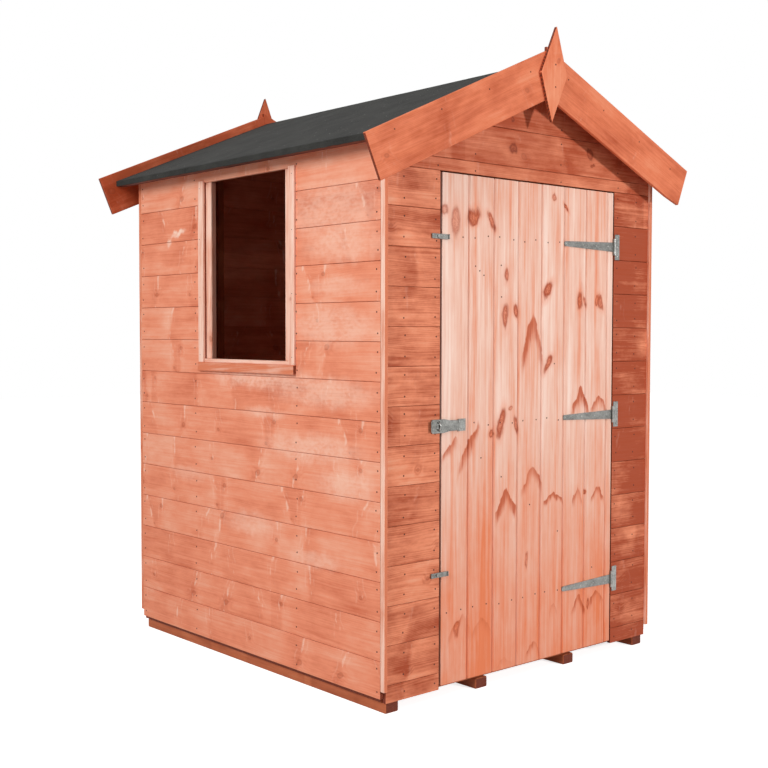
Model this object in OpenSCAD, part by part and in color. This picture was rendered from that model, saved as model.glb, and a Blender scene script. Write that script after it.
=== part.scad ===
// Small apex garden shed of softwood boards, with a ledged and braced door in
// its front gable and an unglazed window in its left wall.
// Millimetres, +Z up. The origin is on the ground under the middle of the shed.
// The door faces -Y, and the window wall faces -X.

/* [Building] */
// Width over the cladding of the two side walls
wall_width = 1220; // [1100:10:1800]
// Depth over the cladding of the two gables
wall_depth = 1342; // [1100:2:2400]
// Height of the side walls, at the outer face, above the ground
eaves_height = 1639; // [1600:5:1900]
// Slope of the roof, in degrees
roof_pitch = 23; // [15:0.5:32]

/* [Base] */
// Width of a bearer
bearer_width = 50; // [38:1:75]
// Height of a bearer
bearer_height = 33; // [25:1:75]
// Distance of the outer bearers' centre lines from the side walls
bearer_inset = 43; // [35:1:80]
// Distance between the centre lines of the two middle bearers
bearer_spacing = 406; // [300:2:440]
// Thickness of the floor
floor_thickness = 11; // [9:1:25]

/* [Walls] */
// Thickness of the boards that clad the walls
cladding_thickness = 12; // [9:1:20]
// Side of the square framing timber
stud_size = 28; // [24:1:45]
// How far the side cladding stops above the floor's underside
side_skirt_rise = 13; // [5:1:20]
// Thickness of a corner strip, front to back
strip_depth = 17; // [14:1:25]
// How far a corner strip stands proud of the gable
strip_proud = 8; // [4:1:12]
// How far a corner strip stops above the ground
strip_lift = 68; // [50:1:120]
// Gap between a gable's boards and a side wall's boards at the corners
corner_gap = 1; // [1:0.5:3]
// Joint that is left between two timbers that share a frame
frame_joint = 0.3; // [0.1:0.1:0.5]
// Joint that is left between the roof boards and what carries them
roof_seat = 0.1; // [0.05:0.05:0.3]

/* [Door] */
// Width of the door
door_width = 788; // [640:1:840]
// Height of the door
door_height = 1504; // [1300:1:1560]
// Distance of the door's centre to the right of the shed's centre
door_offset = 13; // [0:1:20]
// Gap under the door, down to the bearers
door_lift = 10.6; // [8:0.2:20]
// Gap at the door's latch edge
latch_gap = 9; // [6:0.5:15]
// Gap at the door's hinge edge
hinge_gap = 5; // [5:0.5:8]
// Gap over the door
head_gap = 5; // [5:0.5:8]
// Width of a ledge or brace on the door's back
ledge_width = 70; // [50:1:95]
// Thickness of a ledge or brace
ledge_thickness = 14; // [10:1:20]
// Height of the lowest hinge and ledge above the door's foot
lower_ledge_height = 210; // [150:5:350]
// Height of the middle hinge and ledge above the door's foot
middle_ledge_height = 767; // [650:5:850]
// Distance of the top hinge and ledge below the door's head
upper_ledge_drop = 179; // [120:1:300]

/* [Window] */
// Clear width of the window opening
window_width = 416; // [300:2:520]
// Clear height of the window opening
window_height = 588; // [400:2:590]
// Height of the window opening's foot above the ground
window_foot = 995; // [850:5:1000]
// Width of the frame strip inside each side of the opening
frame_strip_width = 31; // [20:1:40]
// Width of the cover trim on each side of the window
trim_width = 30; // [20:1:40]
// Thickness of the cover trims
trim_thickness = 8; // [6:1:14]
// Height of the sill board
sill_height = 29; // [20:1:45]
// Thickness of the sill board
sill_thickness = 12; // [8:1:18]

/* [Roof] */
// Thickness of the roof boards
roof_board_thickness = 11; // [9:1:18]
// Thickness of the felt
felt_thickness = 3; // [2:0.5:5]
// How far the roof boards reach out past the side walls
eaves_overhang = 57; // [40:1:120]
// How far the roof boards reach out past the gables
gable_overhang = 62; // [30:1:120]
// Depth of the felt that is folded down over the eaves
felt_fold = 21; // [18:1:40]
// Width of a bargeboard
bargeboard_width = 135; // [90:1:160]
// Thickness of a bargeboard
bargeboard_thickness = 12; // [10:1:20]
// How far a right bargeboard's tip reaches past the side wall
right_bargeboard_overhang = 108; // [75:1:160]
// How far a left bargeboard's tip reaches past the side wall
left_bargeboard_overhang = 126; // [75:1:160]
// How far a bargeboard stands above the felt, square to the slope
bargeboard_rise = 30; // [10:1:40]
// How far the right bargeboard runs past the ridge to meet the left one
bargeboard_lap = 15; // [0:1:25]
// How much steeper than the roof the front left bargeboard is fixed, in degrees
bargeboard_droop = 1.3; // [0:0.1:2]
// Width of a finial
finial_width = 118; // [80:1:140]
// Height of a finial
finial_height = 293; // [200:1:340]
// Lean of the front finial to the right, in degrees
finial_lean = 3.7; // [0:0.1:6]

/* [Hardware] */
// Length of a hinge strap, from the pin to its tip
strap_length = 252; // [200:1:300]
// Width of a hinge strap at the pin
strap_root = 31; // [24:1:40]
// Width of a hinge strap at its tip
strap_tip = 16; // [12:1:24]
// Thickness of the sheet steel of the hinges and the hasp
steel_thickness = 2.5; // [2:0.5:4]
// Height of a hinge's wall plate
plate_height = 84; // [70:1:110]
// Width of a hinge's wall plate
plate_width = 24; // [20:1:35]
// Radius of a hinge pin
pin_radius = 2.8; // [2:0.1:4]
// Radius of a hinge knuckle
knuckle_radius = 5; // [4:0.1:7]
// Metal that the hasp's moving strap has beyond its slot, up to its lip
hasp_margin = 20; // [12:1:30]
// Height of the hasp's moving strap
hasp_height = 40; // [30:1:50]
// Distance of the hasp's pin from the door's latch edge
hasp_pin_inset = 67; // [50:1:90]
// Radius of the staple's wire
staple_wire = 2.5; // [2:0.1:3.5]
// Clear height inside the staple
staple_clear = 16; // [12:1:20]
// Length of a turn button
button_length = 67; // [50:1:80]
// Height of a turn button
button_height = 14; // [10:1:20]
// Distance of a turn button's screw from its outer end
button_screw_inset = 24; // [15:1:30]
// Distance of a turn button's screw from the doorway's edge
button_screw_edge = 12; // [8:1:14]
// Distance of the upper turn button below the door's head
upper_button_drop = 186; // [150:1:300]
// Height of the lower turn button above the door's foot
lower_button_rise = 331; // [250:1:450]

/* [Hidden] */

$fn = 48;
side_x = wall_width / 2;
gable_y = wall_depth / 2;
board_y = gable_y - cladding_thickness;
board_x = side_x - cladding_thickness;
floor_under = bearer_height;
floor_top = floor_under + floor_thickness;
side_skirt = floor_under + side_skirt_rise;
strip_width = cladding_thickness + corner_gap;

// Roof surfaces, by distance from the ridge line
slope = tan(roof_pitch);
board_rise = roof_board_thickness / cos(roof_pitch);
felt_rise = felt_thickness / cos(roof_pitch);
roof_edge_x = side_x + eaves_overhang;
roof_end_y = gable_y + gable_overhang;
bargeboard_y = roof_end_y + bargeboard_thickness;
function under_roof(x) = eaves_height + (side_x - x) * slope;
function wall_top(x) = under_roof(x) - roof_seat;
function over_boards(x) = under_roof(x) + board_rise;
function over_felt(x) = over_boards(x) + felt_rise;
ridge_top = over_felt(0) + bargeboard_rise / cos(roof_pitch);

// Doorway and door
door_left = door_offset - door_width / 2;
door_right = door_offset + door_width / 2;
door_foot = floor_under + door_lift;
door_head = door_foot + door_height;
doorway_left = door_left - latch_gap;
doorway_right = door_right + hinge_gap;
doorway_head = door_head + head_gap;
ledge_heights = [
    door_foot + lower_ledge_height,
    door_foot + middle_ledge_height,
    door_head - upper_ledge_drop
];
floor_setback = 7;
ledge_latch_inset = 22;
ledge_hinge_inset = 20;
hinge_x = door_right + hinge_gap / 2;
face_clearance = 0.3;
hinge_y = -gable_y - knuckle_radius - face_clearance;
pin_clearance = 0.08;
knuckle_gap = 0.5;
strap_y = -gable_y - steel_thickness;

// Window, with its middle over the middle of the left wall
window_edge = window_width / 2;
window_head = window_foot + window_height;
window_cut = window_edge + frame_strip_width;
trim_edge = window_cut + face_clearance + trim_width;
ledge_strip = 12;
window_frame_depth = 20;
window_frame_recess = 5;
sill_top = window_foot - ledge_strip;
trim_head = window_head + 5;
front_stud_y = -window_cut - 32;
rear_stud_y = window_cut + 62;

// Hasp and staple
hasp_z = ledge_heights[1];
hasp_pin_x = door_left + hasp_pin_inset;
hasp_knuckle = 3.5;
hasp_pin_radius = 1.9;
hasp_y = -gable_y - hasp_knuckle - face_clearance;
hasp_thickness = 2;
hasp_back_y = -gable_y - 3.2;
hasp_lip = 10;
hasp_lip_angle = 40;
staple_x = doorway_left - 9;
staple_base = 2;
staple_reach = 17;
slot_clearance = 3;

// Turn buttons
button_x = doorway_left - button_screw_edge;
button_standoff = 3;
button_thickness = 2.5;
button_heights = [door_head - upper_button_drop, door_foot + lower_button_rise];

wood = [0.85, 0.5, 0.36];
pale_wood = [0.92, 0.7, 0.58];
dark_felt = [0.27, 0.28, 0.27];
zinc = [0.62, 0.64, 0.63];

// An outline in the XZ plane, made solid from y0 to y1
module gable_slab(outline, y0, y1) {
    translate([0, y1, 0])
        rotate([90, 0, 0])
            linear_extrude(height = y1 - y0)
                polygon(outline);
}

// A box from its lowest to its highest corner
module block(low, high) {
    translate(low) cube(high - low);
}

// A cylinder of radius r along +Y, from y0 to y1, at [x, z]
module peg(x, z, r, y0, y1) {
    translate([x, y1, z])
        rotate([90, 0, 0])
            cylinder(r = r, h = y1 - y0);
}

// Its children on both sides of the plane x = 0
module both_sides() {
    children();
    mirror([1, 0, 0]) children();
}

module bearers() {
    middle = bearer_spacing / 2;
    outer = side_x - bearer_inset;
    end_setback = 6;
    color(wood)
        for (x = [-outer, -middle, middle, outer])
            block([x - bearer_width / 2, -gable_y + end_setback, 0],
                  [x + bearer_width / 2, gable_y - end_setback, bearer_height]);
}

module floor() {
    color(wood)
        block([-board_x, -board_y + floor_setback, floor_under],
              [board_x, board_y - floor_setback, floor_top]);
}

// Outline of side cladding, from height foot up to the roof boards
function side_outline(foot) = [
    [-side_x, foot], [-board_x, foot],
    [-board_x, wall_top(board_x)], [-side_x, wall_top(side_x)]
];
side_end = gable_y - (strip_depth - strip_proud);

module left_wall_front() {
    color(wood) gable_slab(side_outline(side_skirt), -side_end, -window_cut);
}

module left_wall_rear() {
    color(wood) gable_slab(side_outline(side_skirt), window_cut, side_end);
}

module left_wall_lower() {
    color(wood)
        block([-side_x, -window_cut, side_skirt], [-board_x, window_cut, window_foot - ledge_strip]);
}

module left_wall_upper() {
    color(wood) gable_slab(side_outline(window_head), -window_cut, window_cut);
}

module right_wall() {
    color(wood)
        mirror([1, 0, 0]) gable_slab(side_outline(side_skirt), -side_end, side_end);
}

gable_edge = side_x - strip_width;

module rear_wall() {
    color(wood)
        gable_slab([[-gable_edge, floor_under], [gable_edge, floor_under],
                    [gable_edge, wall_top(gable_edge)], [0, wall_top(0)],
                    [-gable_edge, wall_top(gable_edge)]],
                   board_y, gable_y);
}

module front_wall_left() {
    color(wood)
        block([-gable_edge, -gable_y, floor_under], [doorway_left, -board_y, doorway_head]);
}

module front_wall_right() {
    color(wood)
        block([doorway_right, -gable_y, floor_under], [gable_edge, -board_y, doorway_head]);
}

module front_gable() {
    color(wood)
        gable_slab([[-gable_edge, doorway_head], [gable_edge, doorway_head],
                    [gable_edge, wall_top(gable_edge)], [0, wall_top(0)],
                    [-gable_edge, wall_top(gable_edge)]],
                   -gable_y, -board_y);
}

frame_x = board_x - stud_size;
frame_y = board_y - stud_size;
side_rail_top = wall_top(board_x);
side_rail_under = side_rail_top - stud_size;

// Bottom rail, top rail and studs of a side wall, on the side x < 0
module side_frame(stud_centres) {
    block([-board_x, -board_y, floor_top], [-frame_x, board_y, floor_top + stud_size]);
    gable_slab([[-board_x, side_rail_under], [-frame_x, side_rail_under],
                [-frame_x, wall_top(frame_x)], [-board_x, side_rail_top]],
               -board_y, board_y);
    for (y = stud_centres)
        block([-board_x, y - stud_size / 2, floor_top + stud_size + frame_joint],
              [-frame_x, y + stud_size / 2, side_rail_under - frame_joint]);
}

corner_stud_y = board_y - stud_size / 2;

module left_wall_frame() {
    color(pale_wood)
        side_frame([-corner_stud_y, front_stud_y, rear_stud_y, corner_stud_y]);
}

module right_wall_frame() {
    third = corner_stud_y / 3;
    color(pale_wood)
        mirror([1, 0, 0]) side_frame([-corner_stud_y, -third, third, corner_stud_y]);
}

// The two rafters of a gable frame, from the side frames to the ridge,
// on the inside of the gable whose inner face is at y = board_y
module gable_rafters() {
    drop = stud_size / cos(roof_pitch);
    joint = frame_joint / 2;
    both_sides()
        gable_slab([[joint, wall_top(0) - joint * slope], [joint, wall_top(0) - drop],
                    [frame_x - joint, wall_top(frame_x) - drop],
                    [frame_x - joint, wall_top(frame_x)]],
                   frame_y, board_y);
}

module rear_wall_frame() {
    rail_x = frame_x - frame_joint;
    stud_x = rail_x - stud_size / 2;
    middle_stud_x = stud_x * 0.52;
    color(pale_wood) {
        block([-rail_x, frame_y, floor_top], [rail_x, board_y, floor_top + stud_size]);
        gable_rafters();
        for (x = [-stud_x, -middle_stud_x, middle_stud_x, stud_x])
            rear_stud(x);
    }
}

// An upright of the rear frame, up to the rafter over it
module rear_stud(x) {
    inner = max(abs(x) - stud_size / 2, 0);
    outer = abs(x) + stud_size / 2;
    drop = stud_size / cos(roof_pitch) + frame_joint;
    side = x < 0 ? 1 : 0;
    foot = floor_top + stud_size + frame_joint;
    mirror([side, 0, 0])
        gable_slab([[inner, foot], [outer, foot],
                    [outer, wall_top(outer) - drop], [inner, wall_top(inner) - drop]],
                   frame_y, board_y);
}

post_left = doorway_left - 4 - stud_size;
post_right = doorway_right + 4;
end_stud_inset = 67;

module front_wall_frame() {
    rail_x = frame_x - frame_joint;
    foot = floor_top + stud_size + frame_joint;
    head = doorway_head - frame_joint;
    end_left = min(-side_x + end_stud_inset, post_left - stud_size - frame_joint);
    end_right = max(side_x - end_stud_inset - stud_size, post_right + stud_size + frame_joint);
    color(pale_wood)
        mirror([0, 1, 0]) {
            block([-rail_x, frame_y, floor_top], [post_left + stud_size, board_y, floor_top + stud_size]);
            block([post_right, frame_y, floor_top], [rail_x, board_y, floor_top + stud_size]);
            block([-rail_x, frame_y, doorway_head], [rail_x, board_y, doorway_head + stud_size]);
            for (x = [end_left, post_left, post_right, end_right])
                block([x, frame_y, foot], [x + stud_size, board_y, head]);
            gable_rafters();
        }
}

module corner_strips() {
    top = wall_top(side_x) - face_clearance;
    color(pale_wood)
        for (x = [-side_x, side_x - strip_width])
            for (y = [-gable_y - strip_proud, gable_y + strip_proud - strip_depth])
                block([x, y, strip_lift], [x + strip_width, y + strip_depth, top]);
}

module window_trims() {
    color(pale_wood)
        for (y = [-trim_edge, trim_edge - trim_width])
            block([-side_x - trim_thickness, y, sill_top], [-side_x, y + trim_width, trim_head]);
}

module window_frame() {
    outer_x = -side_x + window_frame_recess;
    inner_x = outer_x + window_frame_depth;
    strip_foot = window_foot + frame_joint;
    color(pale_wood) {
        for (y = [-window_cut, window_edge])
            block([outer_x, y, strip_foot], [inner_x, y + frame_strip_width, window_head]);
        block([-side_x - 3, -window_cut, window_foot - ledge_strip], [inner_x, window_cut, window_foot]);
    }
}

module window_sill() {
    color(pale_wood)
        block([-side_x - sill_thickness, -trim_edge, sill_top - sill_height],
              [-side_x, trim_edge, sill_top]);
}

// One slope of roof boards, on the side x > 0
module roof_slope() {
    gable_slab([[0, under_roof(0)], [roof_edge_x, under_roof(roof_edge_x)],
                [roof_edge_x, over_boards(roof_edge_x)], [0, over_boards(0)]],
               -roof_end_y, roof_end_y);
}

module right_roof_boards() {
    color(wood) roof_slope();
}

module left_roof_boards() {
    color(wood) mirror([1, 0, 0]) roof_slope();
}

// A batten under the roof boards at each eaves, and a purlin half way up
module roof_battens() {
    eaves_in = roof_edge_x - stud_size;
    eaves_foot = over_felt(roof_edge_x) - felt_fold + 1;
    purlin_out = side_x / 2 + stud_size / 2;
    purlin_in = side_x / 2 - stud_size / 2;
    purlin_foot = wall_top(purlin_out) - stud_size;
    color(wood)
        both_sides() {
            gable_slab([[eaves_in, eaves_foot], [roof_edge_x, eaves_foot],
                        [roof_edge_x, wall_top(roof_edge_x)], [eaves_in, wall_top(eaves_in)]],
                       -roof_end_y, roof_end_y);
            gable_slab([[purlin_in, purlin_foot], [purlin_out, purlin_foot],
                        [purlin_out, wall_top(purlin_out)], [purlin_in, wall_top(purlin_in)]],
                       -frame_y, frame_y);
        }
}

// One sheet of felt, folded down over the eaves, on the side x > 0
module felt_sheet() {
    out = roof_edge_x + felt_thickness;
    fold = over_felt(roof_edge_x) - felt_fold;
    gable_slab([[0, over_boards(0)], [roof_edge_x, over_boards(roof_edge_x)],
                [roof_edge_x, fold], [out, fold], [out, over_felt(out)], [0, over_felt(0)]],
               -roof_end_y, roof_end_y);
}

module right_felt() {
    color(dark_felt) felt_sheet();
}

module left_felt() {
    color(dark_felt) mirror([1, 0, 0]) felt_sheet();
}

// A bargeboard on the side x > 0, cut plumb at x = upper_end and square at its
// lower end, with its upper corner overhang past the wall. It falls from the
// ridge droop degrees more steeply than the roof
module bargeboard(upper_end, overhang, droop = 0) {
    tip_x = side_x + overhang;
    fall = roof_pitch + droop;
    upper_z = ridge_top - upper_end * tan(fall);
    tip_z = ridge_top - tip_x * tan(fall);
    gable_slab([[upper_end, upper_z], [tip_x, tip_z],
                [tip_x - bargeboard_width * sin(fall), tip_z - bargeboard_width * cos(fall)],
                [upper_end, upper_z - bargeboard_width / cos(fall)]],
               roof_end_y, bargeboard_y);
}

module front_right_bargeboard() {
    color(wood) mirror([0, 1, 0]) bargeboard(-bargeboard_lap, right_bargeboard_overhang);
}

module front_left_bargeboard() {
    color(wood) mirror([0, 1, 0]) mirror([1, 0, 0])
        bargeboard(bargeboard_lap, left_bargeboard_overhang, bargeboard_droop);
}

module rear_right_bargeboard() {
    color(wood) bargeboard(-bargeboard_lap, right_bargeboard_overhang);
}

module rear_left_bargeboard() {
    color(wood) mirror([1, 0, 0]) bargeboard(bargeboard_lap, left_bargeboard_overhang);
}

// A diamond board over the joint of two bargeboards, with its long axis leaning
// lean degrees towards +X
module finial(lean) {
    centre = [2 * lean, ridge_top - 77];
    long_half = finial_height / 2 * [sin(lean), cos(lean)];
    cross_half = [finial_width / 2, 0];
    gable_slab([centre + long_half, centre + cross_half, centre - long_half, centre - cross_half],
               bargeboard_y, bargeboard_y + bargeboard_thickness);
}

module front_finial() {
    color(wood) mirror([0, 1, 0]) finial(finial_lean);
}

module rear_finial() {
    color(wood) finial(0);
}

module door_boards() {
    color(pale_wood)
        block([door_left, -gable_y, door_foot], [door_right, -board_y, door_head]);
}

ledge_left = door_left + ledge_latch_inset;
ledge_right = door_right - ledge_hinge_inset;

module door_ledges() {
    color(pale_wood)
        for (z = ledge_heights)
            block([ledge_left, -board_y, z - ledge_width / 2],
                  [ledge_right, -board_y + ledge_thickness, z + ledge_width / 2]);
}

// Braces that rise from the hinge edge to the latch edge between two ledges
module door_braces() {
    color(pale_wood)
        for (i = [0, 1])
            brace(ledge_heights[i] + ledge_width / 2 + frame_joint,
                  ledge_heights[i + 1] - ledge_width / 2 - frame_joint);
}

module brace(foot, head) {
    span = ledge_width * 1.1;
    right = ledge_right - 40;
    left = ledge_left + 40;
    gable_slab([[right - span, foot], [right, foot], [left + span, head], [left, head]],
               -board_y, -board_y + ledge_thickness);
}

// A tapered strap on the door, with the middle knuckle of its hinge
module hinge_strap(z) {
    tip_x = hinge_x - strap_length + strap_tip / 2;
    color(zinc)
        difference() {
            union() {
                gable_slab([[tip_x, z - strap_tip / 2], [hinge_x, z - strap_root / 2],
                            [hinge_x, z + strap_root / 2], [tip_x, z + strap_tip / 2]],
                           strap_y, -gable_y);
                peg(tip_x, z, strap_tip / 2, strap_y, -gable_y);
                translate([hinge_x, hinge_y, z - strap_root / 2])
                    cylinder(r = knuckle_radius, h = strap_root);
            }
            translate([hinge_x, hinge_y, z - strap_root])
                cylinder(r = pin_radius + pin_clearance, h = 2 * strap_root);
            // By the knuckle the strap stands clear of the wall's face
            block([hinge_x - hinge_gap, hinge_y + knuckle_radius, z - strap_root],
                  [hinge_x + knuckle_radius, -gable_y + 1, z + strap_root]);
        }
}

module upper_hinge_strap() hinge_strap(ledge_heights[2]);
module middle_hinge_strap() hinge_strap(ledge_heights[1]);
module lower_hinge_strap() hinge_strap(ledge_heights[0]);

// The plate on the wall, with the outer knuckles and the pin of its hinge
module hinge_plate(z) {
    knuckle = 11;
    reach = strap_root / 2 + knuckle_gap;
    color(zinc) {
        block([hinge_x + knuckle_radius + knuckle_gap, strap_y, z - plate_height / 2],
              [hinge_x + knuckle_radius + plate_width, -gable_y, z + plate_height / 2]);
        for (foot = [z - reach - knuckle, z + reach]) {
            translate([hinge_x, hinge_y, foot])
                cylinder(r = knuckle_radius, h = knuckle);
            block([hinge_x, strap_y, foot],
                  [hinge_x + knuckle_radius + plate_width / 2, hinge_y + knuckle_radius, foot + knuckle]);
        }
        translate([hinge_x, hinge_y, z - reach - knuckle])
            cylinder(r = pin_radius, h = 2 * (reach + knuckle));
    }
}

module upper_hinge_plate() hinge_plate(ledge_heights[2]);
module middle_hinge_plate() hinge_plate(ledge_heights[1]);
module lower_hinge_plate() hinge_plate(ledge_heights[0]);

// The hasp's fixed plate on the door, with its outer knuckles and pin
module hasp_door_plate() {
    knuckle = 8;
    half = hasp_height / 2 - 2;
    color(zinc) {
        block([hasp_pin_x + hasp_knuckle, -gable_y - hasp_thickness, hasp_z - half],
              [hasp_pin_x + 29, -gable_y, hasp_z + half]);
        for (foot = [hasp_z - half, hasp_z + half - knuckle]) {
            translate([hasp_pin_x, hasp_y, foot]) cylinder(r = hasp_knuckle, h = knuckle);
            block([hasp_pin_x, -gable_y - hasp_thickness, foot],
                  [hasp_pin_x + 2 * hasp_knuckle, hasp_y + hasp_knuckle, foot + knuckle]);
        }
        translate([hasp_pin_x, hasp_y, hasp_z - half]) cylinder(r = hasp_pin_radius, h = 2 * half);
    }
}

// The hasp's moving strap, with a slot for the staple and a turned-out lip
module hasp_strap() {
    knuckle = hasp_height - 4 - 2 * (8 + knuckle_gap);
    slot_x = staple_wire + slot_clearance;
    tip_x = staple_x - slot_x - hasp_margin;
    slot_z = staple_clear / 2 + 2 * staple_wire + slot_clearance - 1;
    front = hasp_back_y - hasp_thickness;
    color(zinc)
        difference() {
            union() {
                gable_slab([[tip_x, hasp_z - hasp_height / 2], [staple_x + 25, hasp_z - hasp_height / 2],
                            [staple_x + 45, hasp_z - hasp_height / 2 + 4],
                            [hasp_pin_x - hasp_knuckle - 2, hasp_z - knuckle / 2 - 6],
                            [hasp_pin_x - hasp_knuckle - 2, hasp_z + knuckle / 2 + 6],
                            [staple_x + 45, hasp_z + hasp_height / 2 - 4],
                            [staple_x + 25, hasp_z + hasp_height / 2], [tip_x, hasp_z + hasp_height / 2]],
                           front, hasp_back_y);
                block([hasp_pin_x - hasp_knuckle - 3, front, hasp_z - knuckle / 2],
                      [hasp_pin_x, hasp_back_y, hasp_z + knuckle / 2]);
                translate([hasp_pin_x, hasp_y, hasp_z - knuckle / 2])
                    cylinder(r = hasp_knuckle, h = knuckle);
                translate([tip_x, hasp_back_y, hasp_z])
                    rotate([0, 0, hasp_lip_angle])
                        translate([-hasp_lip, -hasp_thickness, 4 - hasp_height / 2])
                            cube([hasp_lip, hasp_thickness, hasp_height - 8]);
            }
            block([staple_x - slot_x, front - 1, hasp_z - slot_z],
                  [staple_x + slot_x, hasp_back_y + 1, hasp_z + slot_z]);
            translate([hasp_pin_x, hasp_y, hasp_z - hasp_height])
                cylinder(r = hasp_pin_radius + pin_clearance, h = 2 * hasp_height);
        }
}

// The staple on the wall: a base plate and a wire loop in an upright plane
module hasp_staple() {
    leg = staple_clear / 2 + staple_wire;
    bend_y = -gable_y - staple_reach + leg + staple_wire;
    color(zinc) {
        block([staple_x - 8, -gable_y - staple_base, hasp_z - 17],
              [staple_x + 8, -gable_y, hasp_z + 17]);
        for (side = [-1, 1])
            peg(staple_x, hasp_z + side * leg, staple_wire, bend_y, -gable_y - 1);
        translate([staple_x, bend_y, hasp_z])
            rotate([0, 90, 0])
                rotate([0, 0, 180])
                    rotate_extrude(angle = 180)
                        translate([leg, 0]) circle(r = staple_wire);
    }
}

// A flat button that turns on its screw and overlaps the door's edge
module turn_button(z) {
    back = -gable_y - button_standoff;
    front = back - button_thickness;
    outer = button_x - button_screw_inset;
    tip = outer + button_length;
    end = button_height / 2;
    color(zinc)
        difference() {
            union() {
                block([outer, front, z - end], [tip - 3, back, z + end]);
                block([tip - 3, front - 3, z - end], [tip, back, z + end]);
            }
            peg(button_x, z, 2.4 + pin_clearance, front - 1, back + 1);
        }
}

module upper_turn_button() turn_button(button_heights[0]);
module lower_turn_button() turn_button(button_heights[1]);

module turn_button_screws() {
    button_back = -gable_y - button_standoff;
    button_front = button_back - button_thickness;
    color(zinc)
        for (z = button_heights) {
            peg(button_x, z, 5, button_back + face_clearance, -gable_y);
            peg(button_x, z, 2.4, button_front - 0.5, -gable_y);
            peg(button_x, z, 4.5, button_front - face_clearance - 2.2, button_front - face_clearance);
        }
}

bearers();
floor();
left_wall_front();
left_wall_rear();
left_wall_lower();
left_wall_upper();
right_wall();
rear_wall();
front_wall_left();
front_wall_right();
front_gable();
left_wall_frame();
right_wall_frame();
rear_wall_frame();
front_wall_frame();
corner_strips();
window_trims();
window_frame();
window_sill();
left_roof_boards();
right_roof_boards();
roof_battens();
left_felt();
right_felt();
front_left_bargeboard();
front_right_bargeboard();
rear_left_bargeboard();
rear_right_bargeboard();
front_finial();
rear_finial();
door_boards();
door_ledges();
door_braces();
upper_hinge_strap();
middle_hinge_strap();
lower_hinge_strap();
upper_hinge_plate();
middle_hinge_plate();
lower_hinge_plate();
hasp_door_plate();
hasp_strap();
hasp_staple();
upper_turn_button();
lower_turn_button();
turn_button_screws();
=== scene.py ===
"""Looks of a small apex garden shed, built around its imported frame.

Softwood shiplap walls, a ledged and braced door, a window hole, a felted roof and zinc-plated
fastenings. Lengths in the classes are metres, in the frame's own axes: +Z up, the door faces -Y
and the window faces -X. Boards are made as separate solids that carry their own grain, and are
gathered into one piece for each part of the shed.
"""

import logging
import math
import random
from dataclasses import dataclass, field, replace
from enum import Enum
from functools import reduce
from typing import Optional, Sequence, Union

import bmesh
import bpy
from bmesh.types import BMesh
from bpy.types import Material, Mesh, Node, NodeSocket, NodeTree, Object
from mathutils import Matrix, Vector, noise

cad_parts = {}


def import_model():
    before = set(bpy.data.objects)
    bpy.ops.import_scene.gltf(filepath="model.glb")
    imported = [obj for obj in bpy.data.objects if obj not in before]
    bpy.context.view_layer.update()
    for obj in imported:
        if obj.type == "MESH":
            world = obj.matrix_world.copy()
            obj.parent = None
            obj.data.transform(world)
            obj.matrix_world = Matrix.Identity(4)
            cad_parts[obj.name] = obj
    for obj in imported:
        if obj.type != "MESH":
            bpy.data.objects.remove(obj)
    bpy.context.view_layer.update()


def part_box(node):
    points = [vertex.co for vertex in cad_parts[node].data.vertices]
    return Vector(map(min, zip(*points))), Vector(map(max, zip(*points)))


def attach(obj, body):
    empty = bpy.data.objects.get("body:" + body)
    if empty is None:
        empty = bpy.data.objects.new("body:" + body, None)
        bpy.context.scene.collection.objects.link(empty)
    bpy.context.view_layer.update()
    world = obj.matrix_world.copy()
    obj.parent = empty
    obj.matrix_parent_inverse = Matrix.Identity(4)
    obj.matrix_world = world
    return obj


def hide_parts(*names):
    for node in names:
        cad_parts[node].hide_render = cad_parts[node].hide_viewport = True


LOG = logging.getLogger("garden_shed")
MM = 0.001
SHARP = 0.3
UP = Vector((0, 0, 1))

Point2 = tuple[float, float]
Colour = tuple[int, int, int]
Triple = tuple[float, float, float]
Value = Union[float, Sequence[float], NodeSocket]
Plane = tuple[Vector, Vector]
WHITE: Colour = (255, 255, 255)


def linear(level: float) -> float:
    """Linear light of one colour channel, from 0 to 1."""
    return level / 12.92 if level <= 0.04045 else ((level + 0.055) / 1.055) ** 2.4


def shade_of(colour: Colour) -> tuple[float, ...]:
    """Turns a colour from 0 to 255 into the opaque linear one that shaders take."""
    return (*(linear(channel / 255) for channel in colour), 1.0)


# ---- material recipes


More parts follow.
